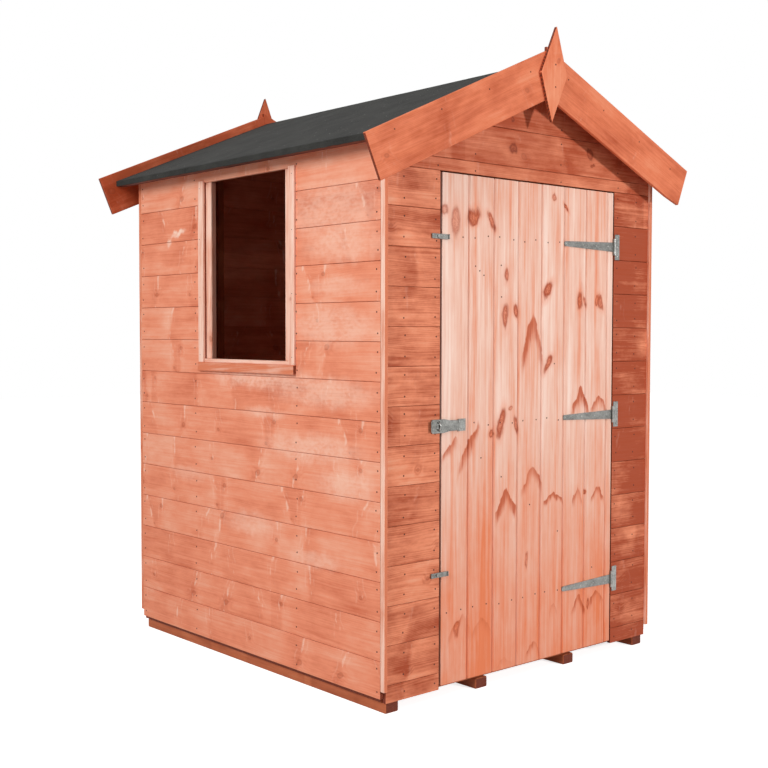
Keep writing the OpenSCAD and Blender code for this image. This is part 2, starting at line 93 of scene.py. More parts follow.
class Workings:
    """A node tree under construction."""

    def __init__(self, tree: NodeTree) -> None:
        """Starts with an empty tree.

        Args:
            tree: the tree of a material or of the world.
        """
        self.nodes = tree.nodes
        self.links = tree.links
        self.nodes.clear()

    def feed(self, socket: NodeSocket, value: Value) -> None:
        """Links a socket to another one, or sets its constant.

        Args:
            socket: the input that is fed.
            value: a socket, a number or a colour.
        """
        if isinstance(value, NodeSocket):
            self.links.new(value, socket)
        elif socket.type == "RGBA":
            socket.default_value = shade_of(value)
        else:
            socket.default_value = value

    def node(self, kind: str, inputs: dict, **settings: object) -> Node:
        """Adds a node.

        Args:
            kind: the node's type, without its "ShaderNode" prefix.
            inputs: values by socket name or number.
            settings: properties of the node.

        Returns:
            The new node.
        """
        made = self.nodes.new("ShaderNode" + kind)
        for key, value in settings.items():
            setattr(made, key, value)
        for key, value in inputs.items():
            self.feed(made.inputs[key], value)
        return made

    def maths(self, operation: str, first: Value, second: Value = 0.0) -> NodeSocket:
        """One Math node's result."""
        return self.node("Math", {0: first, 1: second}, operation=operation).outputs[0]

    def total(self, *values: Value) -> NodeSocket:
        """The sum of several values."""
        return reduce(lambda result, value: self.maths("ADD", result, value), values)

    def times(self, *values: Value) -> NodeSocket:
        """The product of several values."""
        return reduce(lambda result, value: self.maths("MULTIPLY", result, value), values)

    def vector(self, operation: str, first: Value, second: Value) -> NodeSocket:
        """One Vector Math node's vector."""
        return self.node("VectorMath", {0: first, 1: second}, operation=operation).outputs["Vector"]

    def length(self, vector: Value) -> NodeSocket:
        """The length of a vector."""
        return self.node("VectorMath", {0: vector}, operation="LENGTH").outputs["Value"]

    def split(self, vector: Value) -> list[NodeSocket]:
        """The three parts of a vector."""
        return list(self.node("SeparateXYZ", {0: vector}).outputs)

    def join(self, first: Value, second: Value, third: Value = 0.0) -> NodeSocket:
        """A vector of three values."""
        return self.node("CombineXYZ", {0: first, 1: second, 2: third}).outputs[0]

    def attribute(self, name: str, output: str) -> NodeSocket:
        """A value that the mesh carries."""
        return self.node("Attribute", {}, attribute_name=name).outputs[output]

    def cloud(self, place: Value, scale: float, detail: float = 2.0, rough: float = 0.5) -> NodeSocket:
        """Soft noise from 0 to 1."""
        inputs = {"Vector": place, "Scale": scale, "Detail": detail, "Roughness": rough}
        return self.node("TexNoise", inputs).outputs["Fac"]

    def span(self, value: Value, start: float, end: float, low: float = 0.0,
             high: float = 1.0) -> NodeSocket:
        """A smooth step from low at start to high at end."""
        inputs = {"Value": value, "From Min": start, "From Max": end, "To Min": low, "To Max": high}
        return self.node("MapRange", inputs, interpolation_type="SMOOTHSTEP").outputs[0]

    def blend(self, share: Value, base: Value, top: Value) -> NodeSocket:
        """Mixes a share of the top colour over the base colour."""
        return self.node("Mix", {0: share, 6: base, 7: top}, data_type="RGBA").outputs[2]

    def ramp(self, value: Value, stops: Sequence[tuple[float, Colour]]) -> NodeSocket:
        """Makes a colour that runs through several stops.

        Args:
            value: where the colour is taken, from 0 to 1.
            stops: each stop's place and colour, in order.

        Returns:
            The colour.
        """
        made = self.node("ValToRGB", {0: value})
        elements = made.color_ramp.elements
        while len(elements) < len(stops):
            elements.new(0.5)
        for element, (place, colour) in zip(elements, stops):
            element.position = place
            element.color = shade_of(colour)
        return made.outputs[0]


class Recipe(Workings):
    """A node material under construction, with one Principled surface."""

    def __init__(self, name: str) -> None:
        """Starts a material that has only its surface.

        Args:
            name: the material's name.
        """
        self.material = bpy.data.materials.new(name)
        self.material.use_nodes = True
        super().__init__(self.material.node_tree)
        self.surface = self.nodes.new("ShaderNodeBsdfPrincipled")
        self.output = self.node("OutputMaterial", {"Surface": self.surface.outputs[0]})

    def relief(self, height: Value, strength: float, distance: float) -> None:
        """Gives the surface a bump from a height."""
        bump = self.node("Bump", {"Height": height, "Strength": strength, "Distance": distance})
        self.links.new(bump.outputs[0], self.surface.inputs["Normal"])


@dataclass(frozen=True)
class Mark:
    """A mark in the timber's face, listed one by one.

    Attributes:
        x: its place along the wall.
        z: its height, or that of a flame's tip.
        half_width: half its width, level.
        tall: half its height, upright, or how far a flame's legs come down.
        lean: how far it leans to the right, in degrees.
    """

    x: float
    z: float
    half_width: float
    tall: float
    lean: float = 0.0


@dataclass(frozen=True)
class Knot(Mark):
    """A knot.

    Attributes:
        depth: how dark it is, from 0 to 1.
    """

    depth: float = 1.0


@dataclass(frozen=True)
class Flame(Mark):
    """Grain that runs over a branch in an upside-down V.

    Attributes:
        left: how strong the left leg is, from 0 to 1.
        right: how strong the right leg is, from 0 to 1.
    """

    left: float = 1.0
    right: float = 1.0


@dataclass(frozen=True)
class Bloom(Mark):
    """A soft patch where the timber took less preservative.

    Attributes:
        share: how pale it is, from 0 to 1.
    """

    share: float = 0.4


@dataclass(frozen=True)
class TimberFinish:
    """Softwood under a thin orange-red preservative.

    Attributes:
        name: the material's name.
        pale: where the preservative took least.
        body: the usual colour.
        deep: where it took most.
        knot: a knot's core.
        rim: the bark line round a knot.
        fleck: torn pale grain near a knot.
        end_grain: the sawn ends.
        ring_share: how much the growth rings show.
        streak_share: how much the fine streaks show.
        band_share: how much the broad bands along the grain show.
        patch_share: how much the soft patches show.
        step_share: how much the tone changes at a knot.
        fleck_share: how much the pale flecks show.
        knot_spacing: mean distance between knots along a board.
        knot_radius: a middling knot's radius.
        knot_chance: share of the possible knots that are there.
        knots: knots listed one by one.
        flames: flames listed one by one.
        blooms: pale patches listed one by one.
        face_axis: the axis along the wall, for the listed marks: 0 for x, 1 for y.
        foot_shade: how much deeper the foot is than the head.
        foot_reach: the height over which the foot is deeper.
        streak_grain: changes of the fine streaks per metre along, across and into a board.
        band_grain: the same for the broad bands.
        patch_grain: the same for the soft patches.
        ragged_grain: the same for the roughened outlines.
        fibre_grain: the same for the relief's fibres.
        ring_pitch: distance between growth rings.
        relief_depth: depth of the relief.
    """

    name: str
    pale: Colour
    body: Colour
    deep: Colour
    knot: Colour
    rim: Colour
    fleck: Colour
    end_grain: Colour
    ring_share: float = 0.07
    streak_share: float = 0.45
    band_share: float = 0.25
    patch_share: float = 0.95
    step_share: float = 0.27
    fleck_share: float = 0.55
    knot_spacing: float = 0.21
    knot_radius: float = 0.0065
    knot_chance: float = 0.45
    knots: tuple[Knot, ...] = ()
    flames: tuple[Flame, ...] = ()
    blooms: tuple[Bloom, ...] = ()
    face_axis: int = 0
    foot_shade: float = 0.0
    foot_reach: float = 0.7
    streak_grain: Triple = (5, 110, 110)
    band_grain: Triple = (0.8, 34, 34)
    patch_grain: Triple = (5.5, 12, 12)
    ragged_grain: Triple = (60, 110, 60)
    fibre_grain: Triple = (40, 900, 900)
    ring_pitch: float = 4.2 * MM
    relief_depth: float = 0.6 * MM

    def build(self) -> Material:
        """Makes the material.

        Returns:
            The finished timber material.
        """
        wood = Recipe(self.name)
        grain = wood.attribute("grain", "Vector")
        along, across, depth = wood.split(grain)
        shade, first, second = wood.split(wood.attribute("tone", "Vector"))
        shift = wood.join(wood.times(first, 7.3), wood.times(second, 5.1), wood.times(first, 3.7))
        own = wood.vector("ADD", grain, shift)

        streak = wood.cloud(wood.vector("MULTIPLY", own, self.streak_grain), 1.0, 4.0, 0.6)
        band = wood.cloud(wood.vector("MULTIPLY", own, self.band_grain), 1.0, 2.0, 0.6)
        patch = wood.cloud(wood.vector("MULTIPLY", own, self.patch_grain), 1.0, 5.0, 0.62)
        ragged = wood.cloud(wood.vector("MULTIPLY", own, self.ragged_grain), 1.0, 2.0)

        limb = self.limbs(wood, along, across, first, second, ragged)
        ring = self.rings(wood, own, (along, across, depth), (first, second), limb["near"])

        lines = wood.total(wood.times(wood.total(streak, -0.5), self.streak_share),
                           wood.times(wood.total(band, -0.5), self.band_share))
        if self.foot_shade:
            height = wood.split(wood.node("TexCoord", {}).outputs["Object"])[2]
            lines = wood.times(lines, wood.span(height, self.foot_reach, 0.3, 1.0, 0.45))
            shade = wood.total(shade, wood.span(height, self.foot_reach, 0.1, 0.0, self.foot_shade))
        level = wood.total(
            0.5, shade, lines,
            wood.times(wood.total(ring, -0.4), self.ring_share),
            wood.times(wood.total(patch, -0.5), self.patch_share),
            wood.times(limb["step"], self.step_share),
            wood.times(limb["near"], 0.12),
            # painted shade on the faces that look one way, such as the corner strips' front faces
            wood.attribute("painted_side_shade", "Fac"),
        )
        colour = wood.ramp(level, [(0.0, self.pale), (0.5, self.body), (1.0, self.deep)])
        colour = wood.blend(wood.times(limb["fleck"], self.fleck_share), colour, self.fleck)
        colour = wood.blend(wood.times(limb["core"], 0.35), colour, self.knot)
        colour = wood.blend(wood.times(limb["rim"], 0.3), colour, self.rim)
        colour = self.hand_marks(wood, colour, streak, ragged)
        sawn = wood.blend(wood.times(ring, 0.6), self.end_grain, self.deep)
        # sawn ends take the end-grain colour, and so does the window lining's inner part, as painted
        # shade over bare timber
        colour = wood.blend(wood.attribute("end", "Fac"), colour, sawn)

        wood.feed(wood.surface.inputs["Base Color"], colour)
        wood.feed(wood.surface.inputs["Roughness"], wood.span(streak, 0.3, 0.7, 0.6, 0.78))
        wood.surface.inputs["Specular IOR Level"].default_value = 0.3
        fibre = wood.cloud(wood.vector("MULTIPLY", own, self.fibre_grain), 1.0, 2.0)
        height = wood.total(wood.times(ring, 0.35), wood.times(streak, 0.8), wood.times(fibre, 0.35))
        wood.relief(height, 0.35, self.relief_depth)
        return wood.material

    def limbs(self, wood: Recipe, along: Value, across: Value, first: Value, second: Value,
              ragged: Value) -> dict[str, NodeSocket]:
        """Scatters knots along every board, each board with its own.

        Args:
            wood: the material under construction.
            along: distance along the board.
            across: distance from the board's middle line.
            first: the board's first random number.
            second: the board's second random number.
            ragged: noise that roughens the outlines.

        Returns:
            How much of a core, rim, pale fleck, change of tone and nearby grain each point has.
        """
        reach = wood.total(wood.times(along, 1 / self.knot_spacing), wood.times(first, 13.0),
                           wood.times(second, 31.0))
        cell = wood.node("TexVoronoi", {"W": reach, "Scale": 1.0, "Randomness": 0.95},
                         voronoi_dimensions="1D")
        gap = wood.times(wood.maths("SUBTRACT", reach, cell.outputs["W"]), self.knot_spacing)
        height, size, chance = wood.split(cell.outputs["Color"])
        rise = wood.maths("SUBTRACT", across, wood.times(wood.total(height, -0.5), 0.085))
        lean = wood.total(gap, wood.times(rise, wood.total(size, -0.5)))
        seen = wood.maths("GREATER_THAN", chance, 1 - self.knot_chance)
        radius = wood.times(wood.total(size, 0.35), self.knot_radius)
        off = wood.length(wood.join(wood.times(lean, 0.8), rise))
        away = wood.maths("DIVIDE", off, radius)
        away = wood.total(away, wood.times(wood.total(ragged, -0.5), 0.9))
        edge = wood.maths("ABSOLUTE", wood.total(away, -1.05))
        bend = wood.cloud(wood.join(wood.times(across, 16.0), wood.times(size, 40.0), second), 1.0, 1.0)
        stroke = wood.maths("ABSOLUTE", wood.total(lean, wood.times(wood.total(bend, -0.5), 0.05)))
        worn = wood.cloud(wood.join(wood.times(across, 26.0), wood.times(gap, 60.0), first), 1.0, 3.0)
        twin = wood.maths("ABSOLUTE", wood.total(stroke, -0.021))
        torn = wood.total(wood.span(stroke, 0.0095, 0.001), wood.span(twin, 0.005, 0.001, 0.0, 0.3))
        turn = wood.total(wood.maths("FRACT", wood.times(size, 17.0)), -0.5)
        return {
            "core": wood.times(seen, wood.span(away, 1.1, 0.75)),
            "rim": wood.times(seen, wood.span(edge, 0.45, 0.0)),
            "near": wood.times(seen, wood.span(away, 5.0, 0.8)),
            "fleck": wood.times(torn, wood.span(worn, 0.5, 0.64)),
            "step": wood.times(wood.span(lean, -0.011, 0.011, -1.0, 1.0), turn,
                               wood.span(wood.maths("ABSOLUTE", gap), 0.1, 0.01)),
        }

    def rings(self, wood: Recipe, own: Value, place: Sequence[Value], seeds: Sequence[Value],
              near: Value) -> NodeSocket:
        """Draws growth rings as the saw cut them.

        Args:
            wood: the material under construction.
            own: the point, shifted so that every board has its own wood.
            place: distances along, across and into the board.
            seeds: the board's two random numbers.
            near: nearness of a knot, round which the rings swell.

        Returns:
            1 on the dark late wood of a ring, down to 0 between the rings.
        """
        along, across, depth = place
        first, second = seeds
        wander = wood.cloud(wood.vector("MULTIPLY", own, (1.8, 3, 3)), 1.0, 2.0)
        heart = wood.total(wood.times(wood.total(first, -0.5), 0.09),
                           wood.times(wood.total(wander, -0.5), 0.06))
        off = wood.maths("SUBTRACT", across, heart)
        bury = wood.total(depth, 0.014, wood.times(second, 0.03))
        radius = wood.total(wood.length(wood.join(off, bury)), wood.times(near, 0.006),
                            wood.times(along, wood.total(second, -0.5), 0.02))
        turn = wood.maths("SINE", wood.times(radius, 2 * math.pi / self.ring_pitch))
        return wood.maths("POWER", wood.total(wood.times(turn, 0.5), 0.5), 2.0)

    def hand_marks(self, wood: Recipe, colour: Value, streak: Value,
                   ragged: Value) -> NodeSocket:
        """Adds the pale patches, knots and flames that are listed one by one.

        Args:
            wood: the material under construction.
            colour: the timber's colour so far.
            streak: the fine streaks, which break the marks up.
            ragged: noise that breaks the pale patches up.

        Returns:
            The colour with the marks on it.
        """
        if not (self.knots or self.flames or self.blooms):
            return colour
        place = wood.split(wood.node("TexCoord", {}).outputs["Object"])
        face = wood.join(place[self.face_axis], place[2])
        waves = wood.node("TexNoise", {"Vector": wood.vector("MULTIPLY", face, (34, 17, 0)),
                                       "Scale": 1.0, "Detail": 3.0}).outputs["Color"]
        sway = wood.vector("MULTIPLY", wood.vector("SUBTRACT", waves, (0.5, 0.5, 0.5)), (0.022, 0.05, 0))
        face = wood.vector("ADD", face, sway)
        broken = wood.span(streak, 0.25, 0.6, 1.15, 0.65)
        rough = wood.span(wood.total(ragged, wood.cloud(face, 16.0, 3.0)), 0.7, 1.2, 0.4, 1.0)
        mottle = wood.span(wood.cloud(face, 150.0, 2.0), 0.42, 0.6, 0.1, 0.85)
        for bloom in self.blooms:
            away = wood.length(self.mark_place(wood, face, bloom))
            share = wood.span(away, 1.3, 0.4, 0.0, bloom.share)
            colour = wood.blend(wood.times(share, rough), colour, self.fleck)
        for flame in self.flames:
            strength = wood.span(wood.times(self.flame(wood, face, flame), broken), 0.0, 0.75)
            colour = wood.blend(wood.times(strength, 0.85), colour, self.knot)
            colour = wood.blend(wood.times(strength, strength, strength, 0.5), colour, self.rim)
        for mark in self.knots:
            away = wood.length(self.mark_place(wood, face, mark))
            near = wood.times(wood.span(away, 2.3, 0.9), broken, 0.55 * mark.depth)
            colour = wood.blend(near, colour, self.deep)
            edge = wood.span(wood.maths("ABSOLUTE", wood.total(away, -0.85)), 0.5, 0.0, 0.0, mark.depth)
            core = wood.span(away, 1.05, 0.7, 0.0, 0.75 * mark.depth)
            colour = wood.blend(core, colour, self.knot)
            colour = wood.blend(wood.times(core, mottle), colour, self.rim)
            colour = wood.blend(wood.times(edge, broken), colour, self.rim)
        return colour

    def mark_place(self, wood: Recipe, face: Value, mark: Mark) -> NodeSocket:
        """Finds a point of the face as seen from a mark.

        Args:
            wood: the material under construction.
            face: the point, across and up.
            mark: the mark.

        Returns:
            The point from the mark's middle, in units of the mark's size.
        """
        inputs = {"Vector": face, "Location": (mark.x, mark.z, 0),
                  "Rotation": (0, 0, -math.radians(mark.lean)), "Scale": (mark.half_width, mark.tall, 1)}
        return wood.node("Mapping", inputs, vector_type="TEXTURE").outputs[0]

    def flame(self, wood: Recipe, face: Value, mark: Flame) -> NodeSocket:
        """How strongly a flame shows at each point.

        Args:
            wood: the material under construction.
            face: the point, across and up.
            mark: the flame.

        Returns:
            0 away from it, and up to 1 on its sharp upper edge.
        """
        side, rise, _ = wood.split(self.mark_place(wood, face, mark))
        spread = wood.maths("ABSOLUTE", side)
        above = wood.total(rise, wood.maths("POWER", spread, 1.35))
        edge = wood.span(above, 0.2, 0.05)
        fade = wood.span(above, -0.9, 0.1)
        ends = wood.span(spread, 1.15, 0.75)
        leg = wood.span(side, -0.2, 0.2, mark.left, mark.right)
        return wood.times(edge, fade, ends, leg)


@dataclass(frozen=True)
class FeltFinish:
    """Mineral-faced roofing felt: fine granules, dusty patches and a few bright chips.

    Attributes:
        name: the material's name.
        dark: the darkest granules.
        light: the lightest granules.
        dust: the bright chips.
        granules: granules per metre.
        patches: dusty patches per metre.
        chips: places per metre where a bright chip can be.
        bare_share: share of these places where there is none.
        relief_depth: depth of the relief.
    """

    name: str
    dark: Colour
    light: Colour
    dust: Colour
    granules: float = 420.0
    patches: float = 9.0
    chips: float = 70.0
    bare_share: float = 0.86
    relief_depth: float = 0.8 * MM

    def build(self) -> Material:
        """Makes the felt material.

        Returns:
            The finished material.
        """
        felt = Recipe(self.name)
        place = felt.node("TexCoord", {}).outputs["Object"]
        granule = felt.cloud(place, self.granules, 2.0, 0.7)
        patch = felt.cloud(place, self.patches, 4.0, 0.65)
        level = felt.total(felt.times(felt.total(granule, -0.5), 1.6),
                           felt.times(felt.total(patch, -0.5), 1.1), 0.5)
        colour = felt.ramp(level, [(0.15, self.dark), (0.85, self.light)])
        chip = felt.node("TexVoronoi", {"Vector": place, "Scale": self.chips}).outputs
        bright = felt.times(felt.span(chip["Distance"], 0.16, 0.06),
                            felt.maths("GREATER_THAN", felt.split(chip["Color"])[0], self.bare_share))
        colour = felt.blend(felt.times(bright, 0.7), colour, self.dust)
        felt.feed(felt.surface.inputs["Base Color"], colour)
        felt.feed(felt.surface.inputs["Roughness"], felt.span(granule, 0.3, 0.7, 0.82, 0.97))
        felt.surface.inputs["Specular IOR Level"].default_value = 0.25
        felt.relief(granule, 0.6, self.relief_depth)
        return felt.material


@dataclass(frozen=True)
class SteelFinish:
    """Zinc-plated sheet steel with a soft spangle and thin dull smears.

    Attributes:
        name: the material's name.
        bright: the cleanest zinc.
        dull: the smears.
        roughness: how rough it is, on the whole.
        metal: how much of it mirrors as metal, from 0 to 1.
        spangles: zinc crystals per metre.
        smear_grain: how often the smears change per metre in x, y and z.
        relief_depth: depth of the relief.
    """

    name: str
    bright: Colour
    dull: Colour
    roughness: float
    metal: float = 0.85
    spangles: float = 260.0
    smear_grain: Triple = (20, 20, 55)
    relief_depth: float = 0.2 * MM

    def build(self) -> Material:
        """Makes the steel material.

        Returns:
            The finished material.
        """
        steel = Recipe(self.name)
        place = steel.node("TexCoord", {}).outputs["Object"]
        spangle = steel.node("TexVoronoi", {"Vector": place, "Scale": self.spangles}).outputs["Color"]
        smear = steel.cloud(steel.vector("MULTIPLY", place, self.smear_grain), 1.0, 4.0, 0.65)
        flake = steel.split(spangle)[0]
        level = steel.total(steel.times(flake, 0.3), steel.times(smear, 0.9), -0.1)
        colour = steel.ramp(level, [(0.15, self.dull), (0.75, self.bright)])
        steel.feed(steel.surface.inputs["Base Color"], colour)
        rough = steel.total(steel.times(flake, 0.12), self.roughness - 0.06)
        steel.feed(steel.surface.inputs["Roughness"], rough)
        steel.surface.inputs["Metallic"].default_value = self.metal
        steel.relief(steel.cloud(place, 900.0, 2.0), 0.15, self.relief_depth)
        return steel.material


@dataclass(frozen=True)
class NailFinish:
    """Bare steel nail heads that have rusted a little into the preservative.

    Attributes:
        name: the material's name.
        dark: the steel.
        rust: the rust.
        metal: how much of it mirrors as metal, from 0 to 1.
        relief_depth: depth of the relief.
    """

    name: str
    dark: Colour
    rust: Colour
    metal: float = 0.4
    relief_depth: float = 0.2 * MM

    def build(self) -> Material:
        """Makes the nail material.

        Returns:
            The finished material.
        """
        nail = Recipe(self.name)
        place = nail.node("TexCoord", {}).outputs["Object"]
        bloom = nail.cloud(place, 600.0, 3.0, 0.7)
        colour = nail.ramp(bloom, [(0.35, self.dark), (0.7, self.rust)])
        nail.feed(nail.surface.inputs["Base Color"], colour)
        nail.feed(nail.surface.inputs["Roughness"], nail.span(bloom, 0.3, 0.7, 0.5, 0.85))
        nail.surface.inputs["Metallic"].default_value = self.metal
        nail.relief(bloom, 0.3, self.relief_depth)
        return nail.material


DIP = {
    "knot": (170, 78, 44), "rim": (132, 54, 30), "fleck": (248, 208, 186),
    "end_grain": (92, 34, 16),
}
WALL_FINISH = TimberFinish(
    name="dipped_wall_timber", pale=(243, 182, 154), body=(232, 142, 108),
    deep=(192, 90, 56), **DIP)
LEFT_FINISH = replace(
    WALL_FINISH, name="dipped_window_wall_timber", face_axis=1,
    blooms=(
        Bloom(-0.45, 1.44, 0.24, 0.10, share=0.42), Bloom(-0.50, 1.33, 0.20, 0.05, share=0.38),
        Bloom(-0.45, 1.10, 0.20, 0.06, share=0.45), Bloom(-0.47, 1.22, 0.16, 0.03, share=0.30),
        Bloom(-0.05, 0.945, 0.26, 0.04, share=0.60), Bloom(-0.40, 0.905, 0.26, 0.05, share=0.45),
        Bloom(-0.34, 0.735, 0.26, 0.045, share=0.45), Bloom(-0.50, 0.640, 0.15, 0.045, share=0.40),
        Bloom(-0.10, 0.830, 0.12, 0.02, share=0.35), Bloom(0.41, 1.425, 0.050, 0.014, 12, share=1.0),
        Bloom(0.47, 1.395, 0.016, 0.018, share=0.8), Bloom(-0.02, 0.47, 0.16, 0.04, share=0.35),
        Bloom(-0.36, 0.40, 0.14, 0.03, share=0.35), Bloom(0.35, 0.60, 0.12, 0.03, share=0.25),
    ))
GABLE_FINISH = replace(
    WALL_FINISH, name="dipped_gable_timber", pale=(240, 177, 145),
    body=(229, 138, 101), deep=(176, 78, 44), fleck_share=0.1, patch_share=1.0,
    streak_share=0.6, step_share=0.25,
    knots=(Knot(-0.082, 1.647, 0.016, 0.016), Knot(0.284, 1.664, 0.014, 0.017, 20, 0.8),
           Knot(0.298, 1.625, 0.008, 0.006), Knot(-0.085, 1.728, 0.007, 0.010)))
PANEL_FINISH = replace(GABLE_FINISH, name="dipped_panel_timber", deep=(164, 70, 38),
                       patch_share=1.5, ring_share=0.12, knots=())
ROOF_TIMBER_FINISH = TimberFinish(
    name="dipped_roof_timber", pale=(238, 159, 122), body=(222, 121, 82),
    deep=(176, 76, 40), **DIP, knot_spacing=0.30, knot_radius=0.009, fleck_share=0.12,
    ring_share=0.08, patch_share=1.3, step_share=0.1)
# the battens' dark colours are painted shade, for the shade under the felt at the eaves
SHADED_BATTEN_FINISH = TimberFinish(
    name="painted_shade_batten_timber", pale=(140, 74, 48), body=(104, 46, 27),
    deep=(74, 28, 14), **DIP, knot_radius=0.006, fleck_share=0.0)
FRAMING_FINISH = TimberFinish(
    name="sawn_framing_timber", pale=(208, 142, 98), body=(186, 102, 64),
    deep=(140, 64, 36), **DIP, knot_radius=0.006, fleck_share=0.0)
TRIM_FINISH = TimberFinish(
    name="pale_trim_timber", pale=(252, 222, 206), body=(240, 190, 168),
    deep=(214, 122, 86), **DIP, knot_spacing=0.35, knot_radius=0.005, fleck_share=0.0,
    ring_share=0.05, streak_share=1.2, band_share=0.5, step_share=0.2)
DOOR_FINISH = TimberFinish(
    name="pale_door_timber", pale=(249, 219, 204), body=(236, 184, 162),
    deep=(229, 127, 84), knot=(208, 100, 56), rim=(160, 62, 28),
    fleck=(250, 224, 208), end_grain=(130, 62, 40),
    ring_share=0.06, streak_share=1.0, band_share=1.35, patch_share=0.55, step_share=0.0,
    fleck_share=0.0, knot_chance=0.0, foot_shade=0.43, foot_reach=1.0,
    knots=(
        Knot(-0.372, 1.435, 0.012, 0.014, 0, 0.5), Knot(-0.328, 1.406, 0.018, 0.042, 0, 0.5),
        Knot(-0.252, 1.426, 0.026, 0.018, -30, 0.9), Knot(-0.177, 1.418, 0.011, 0.026, -35, 0.8),
        Knot(-0.111, 1.261, 0.009, 0.020, 0, 0.8), Knot(-0.113, 1.137, 0.013, 0.036, 5, 0.8),
        Knot(-0.065, 1.150, 0.011, 0.020, -15, 0.9), Knot(0.083, 1.220, 0.014, 0.030, 32, 1.0),
        Knot(0.087, 0.990, 0.013, 0.026, 38, 0.9), Knot(0.240, 1.181, 0.012, 0.026, 0, 0.9),
        Knot(0.265, 1.184, 0.007, 0.017, -12, 0.7), Knot(0.324, 1.188, 0.008, 0.014, 12, 0.8),
        Knot(0.344, 1.180, 0.012, 0.022, -18, 0.8), Knot(0.109, 1.512, 0.008, 0.009, 0, 0.6),
        Knot(0.166, 1.484, 0.006, 0.016, -35, 1.0), Knot(-0.130, 0.803, 0.015, 0.042, 16, 0.9),
        Knot(-0.062, 0.794, 0.010, 0.030, -14, 0.8), Knot(-0.171, 0.773, 0.013, 0.012, 0, 0.8),
        Knot(-0.090, 0.850, 0.007, 0.007, 0, 0.5), Knot(0.272, 0.566, 0.006, 0.006, 0, 1.0),
        Knot(-0.010, 0.373, 0.006, 0.022, 10, 0.5), Knot(0.292, 0.186, 0.007, 0.016, 12, 0.9),
        Knot(-0.315, 0.205, 0.012, 0.024, 22, 0.5),
    ),
    flames=(
        Flame(0.012, 1.123, 0.052, 0.125, 0, 1.0, 0.75), Flame(0.246, 0.895, 0.046, 0.070, 0),
        Flame(0.340, 0.872, 0.044, 0.050, 0, 0.8, 0.8), Flame(-0.229, 0.797, 0.052, 0.120, 14, 0.9, 0.2),
        Flame(-0.320, 0.768, 0.052, 0.065, 12, 0.8, 0.2), Flame(-0.104, 0.590, 0.050, 0.072, 0, 1.0, 0.9),
        Flame(0.014, 0.656, 0.050, 0.068, 0, 0.75, 0.75), Flame(0.115, 0.570, 0.050, 0.034, 0, 0.9, 0.9),
        Flame(0.234, 0.574, 0.026, 0.044, 0, 0.8, 0.6), Flame(0.335, 0.572, 0.034, 0.040, 0, 0.7, 0.8),
        Flame(-0.292, 0.232, 0.052, 0.065, 10, 0.6, 0.3), Flame(-0.214, 0.218, 0.044, 0.050, 0, 0.4, 0.5),
        Flame(0.119, 0.210, 0.020, 0.035, 0, 0.4, 0.4), Flame(0.243, 0.216, 0.034, 0.045, 0, 0.7, 0.9),
        Flame(0.335, 0.224, 0.036, 0.045, 0, 0.8, 0.6), Flame(0.022, 0.104, 0.036, 0.045, 0, 0.6, 0.5),
        Flame(-0.110, 0.080, 0.036, 0.035, 0, 0.3, 0.3), Flame(0.246, 1.240, 0.022, 0.100, 0, 0.35, 0.3),
    ))
FELT_FINISH = FeltFinish("mineral_felt", (21, 20, 18), (56, 56, 53), (186, 186, 178))
STRAP_FINISH = SteelFinish("zinc_plated_strap", (143, 143, 139), (87, 87, 84), 0.42)
PLATE_FINISH = SteelFinish("zinc_plated_plate", (162, 162, 158), (106, 106, 103), 0.36)
NAIL_FINISH = NailFinish("rusted_nail", (44, 20, 12), (104, 44, 24))


# ---- lumber


@dataclass(frozen=True)
class Tone:
    """What makes one board differ from the next.

    Attributes:
        shade: how deep it is coloured.
        first: a random number from 0 to 1.
        second: another one.
    """

    shade: float
    first: float
    second: float


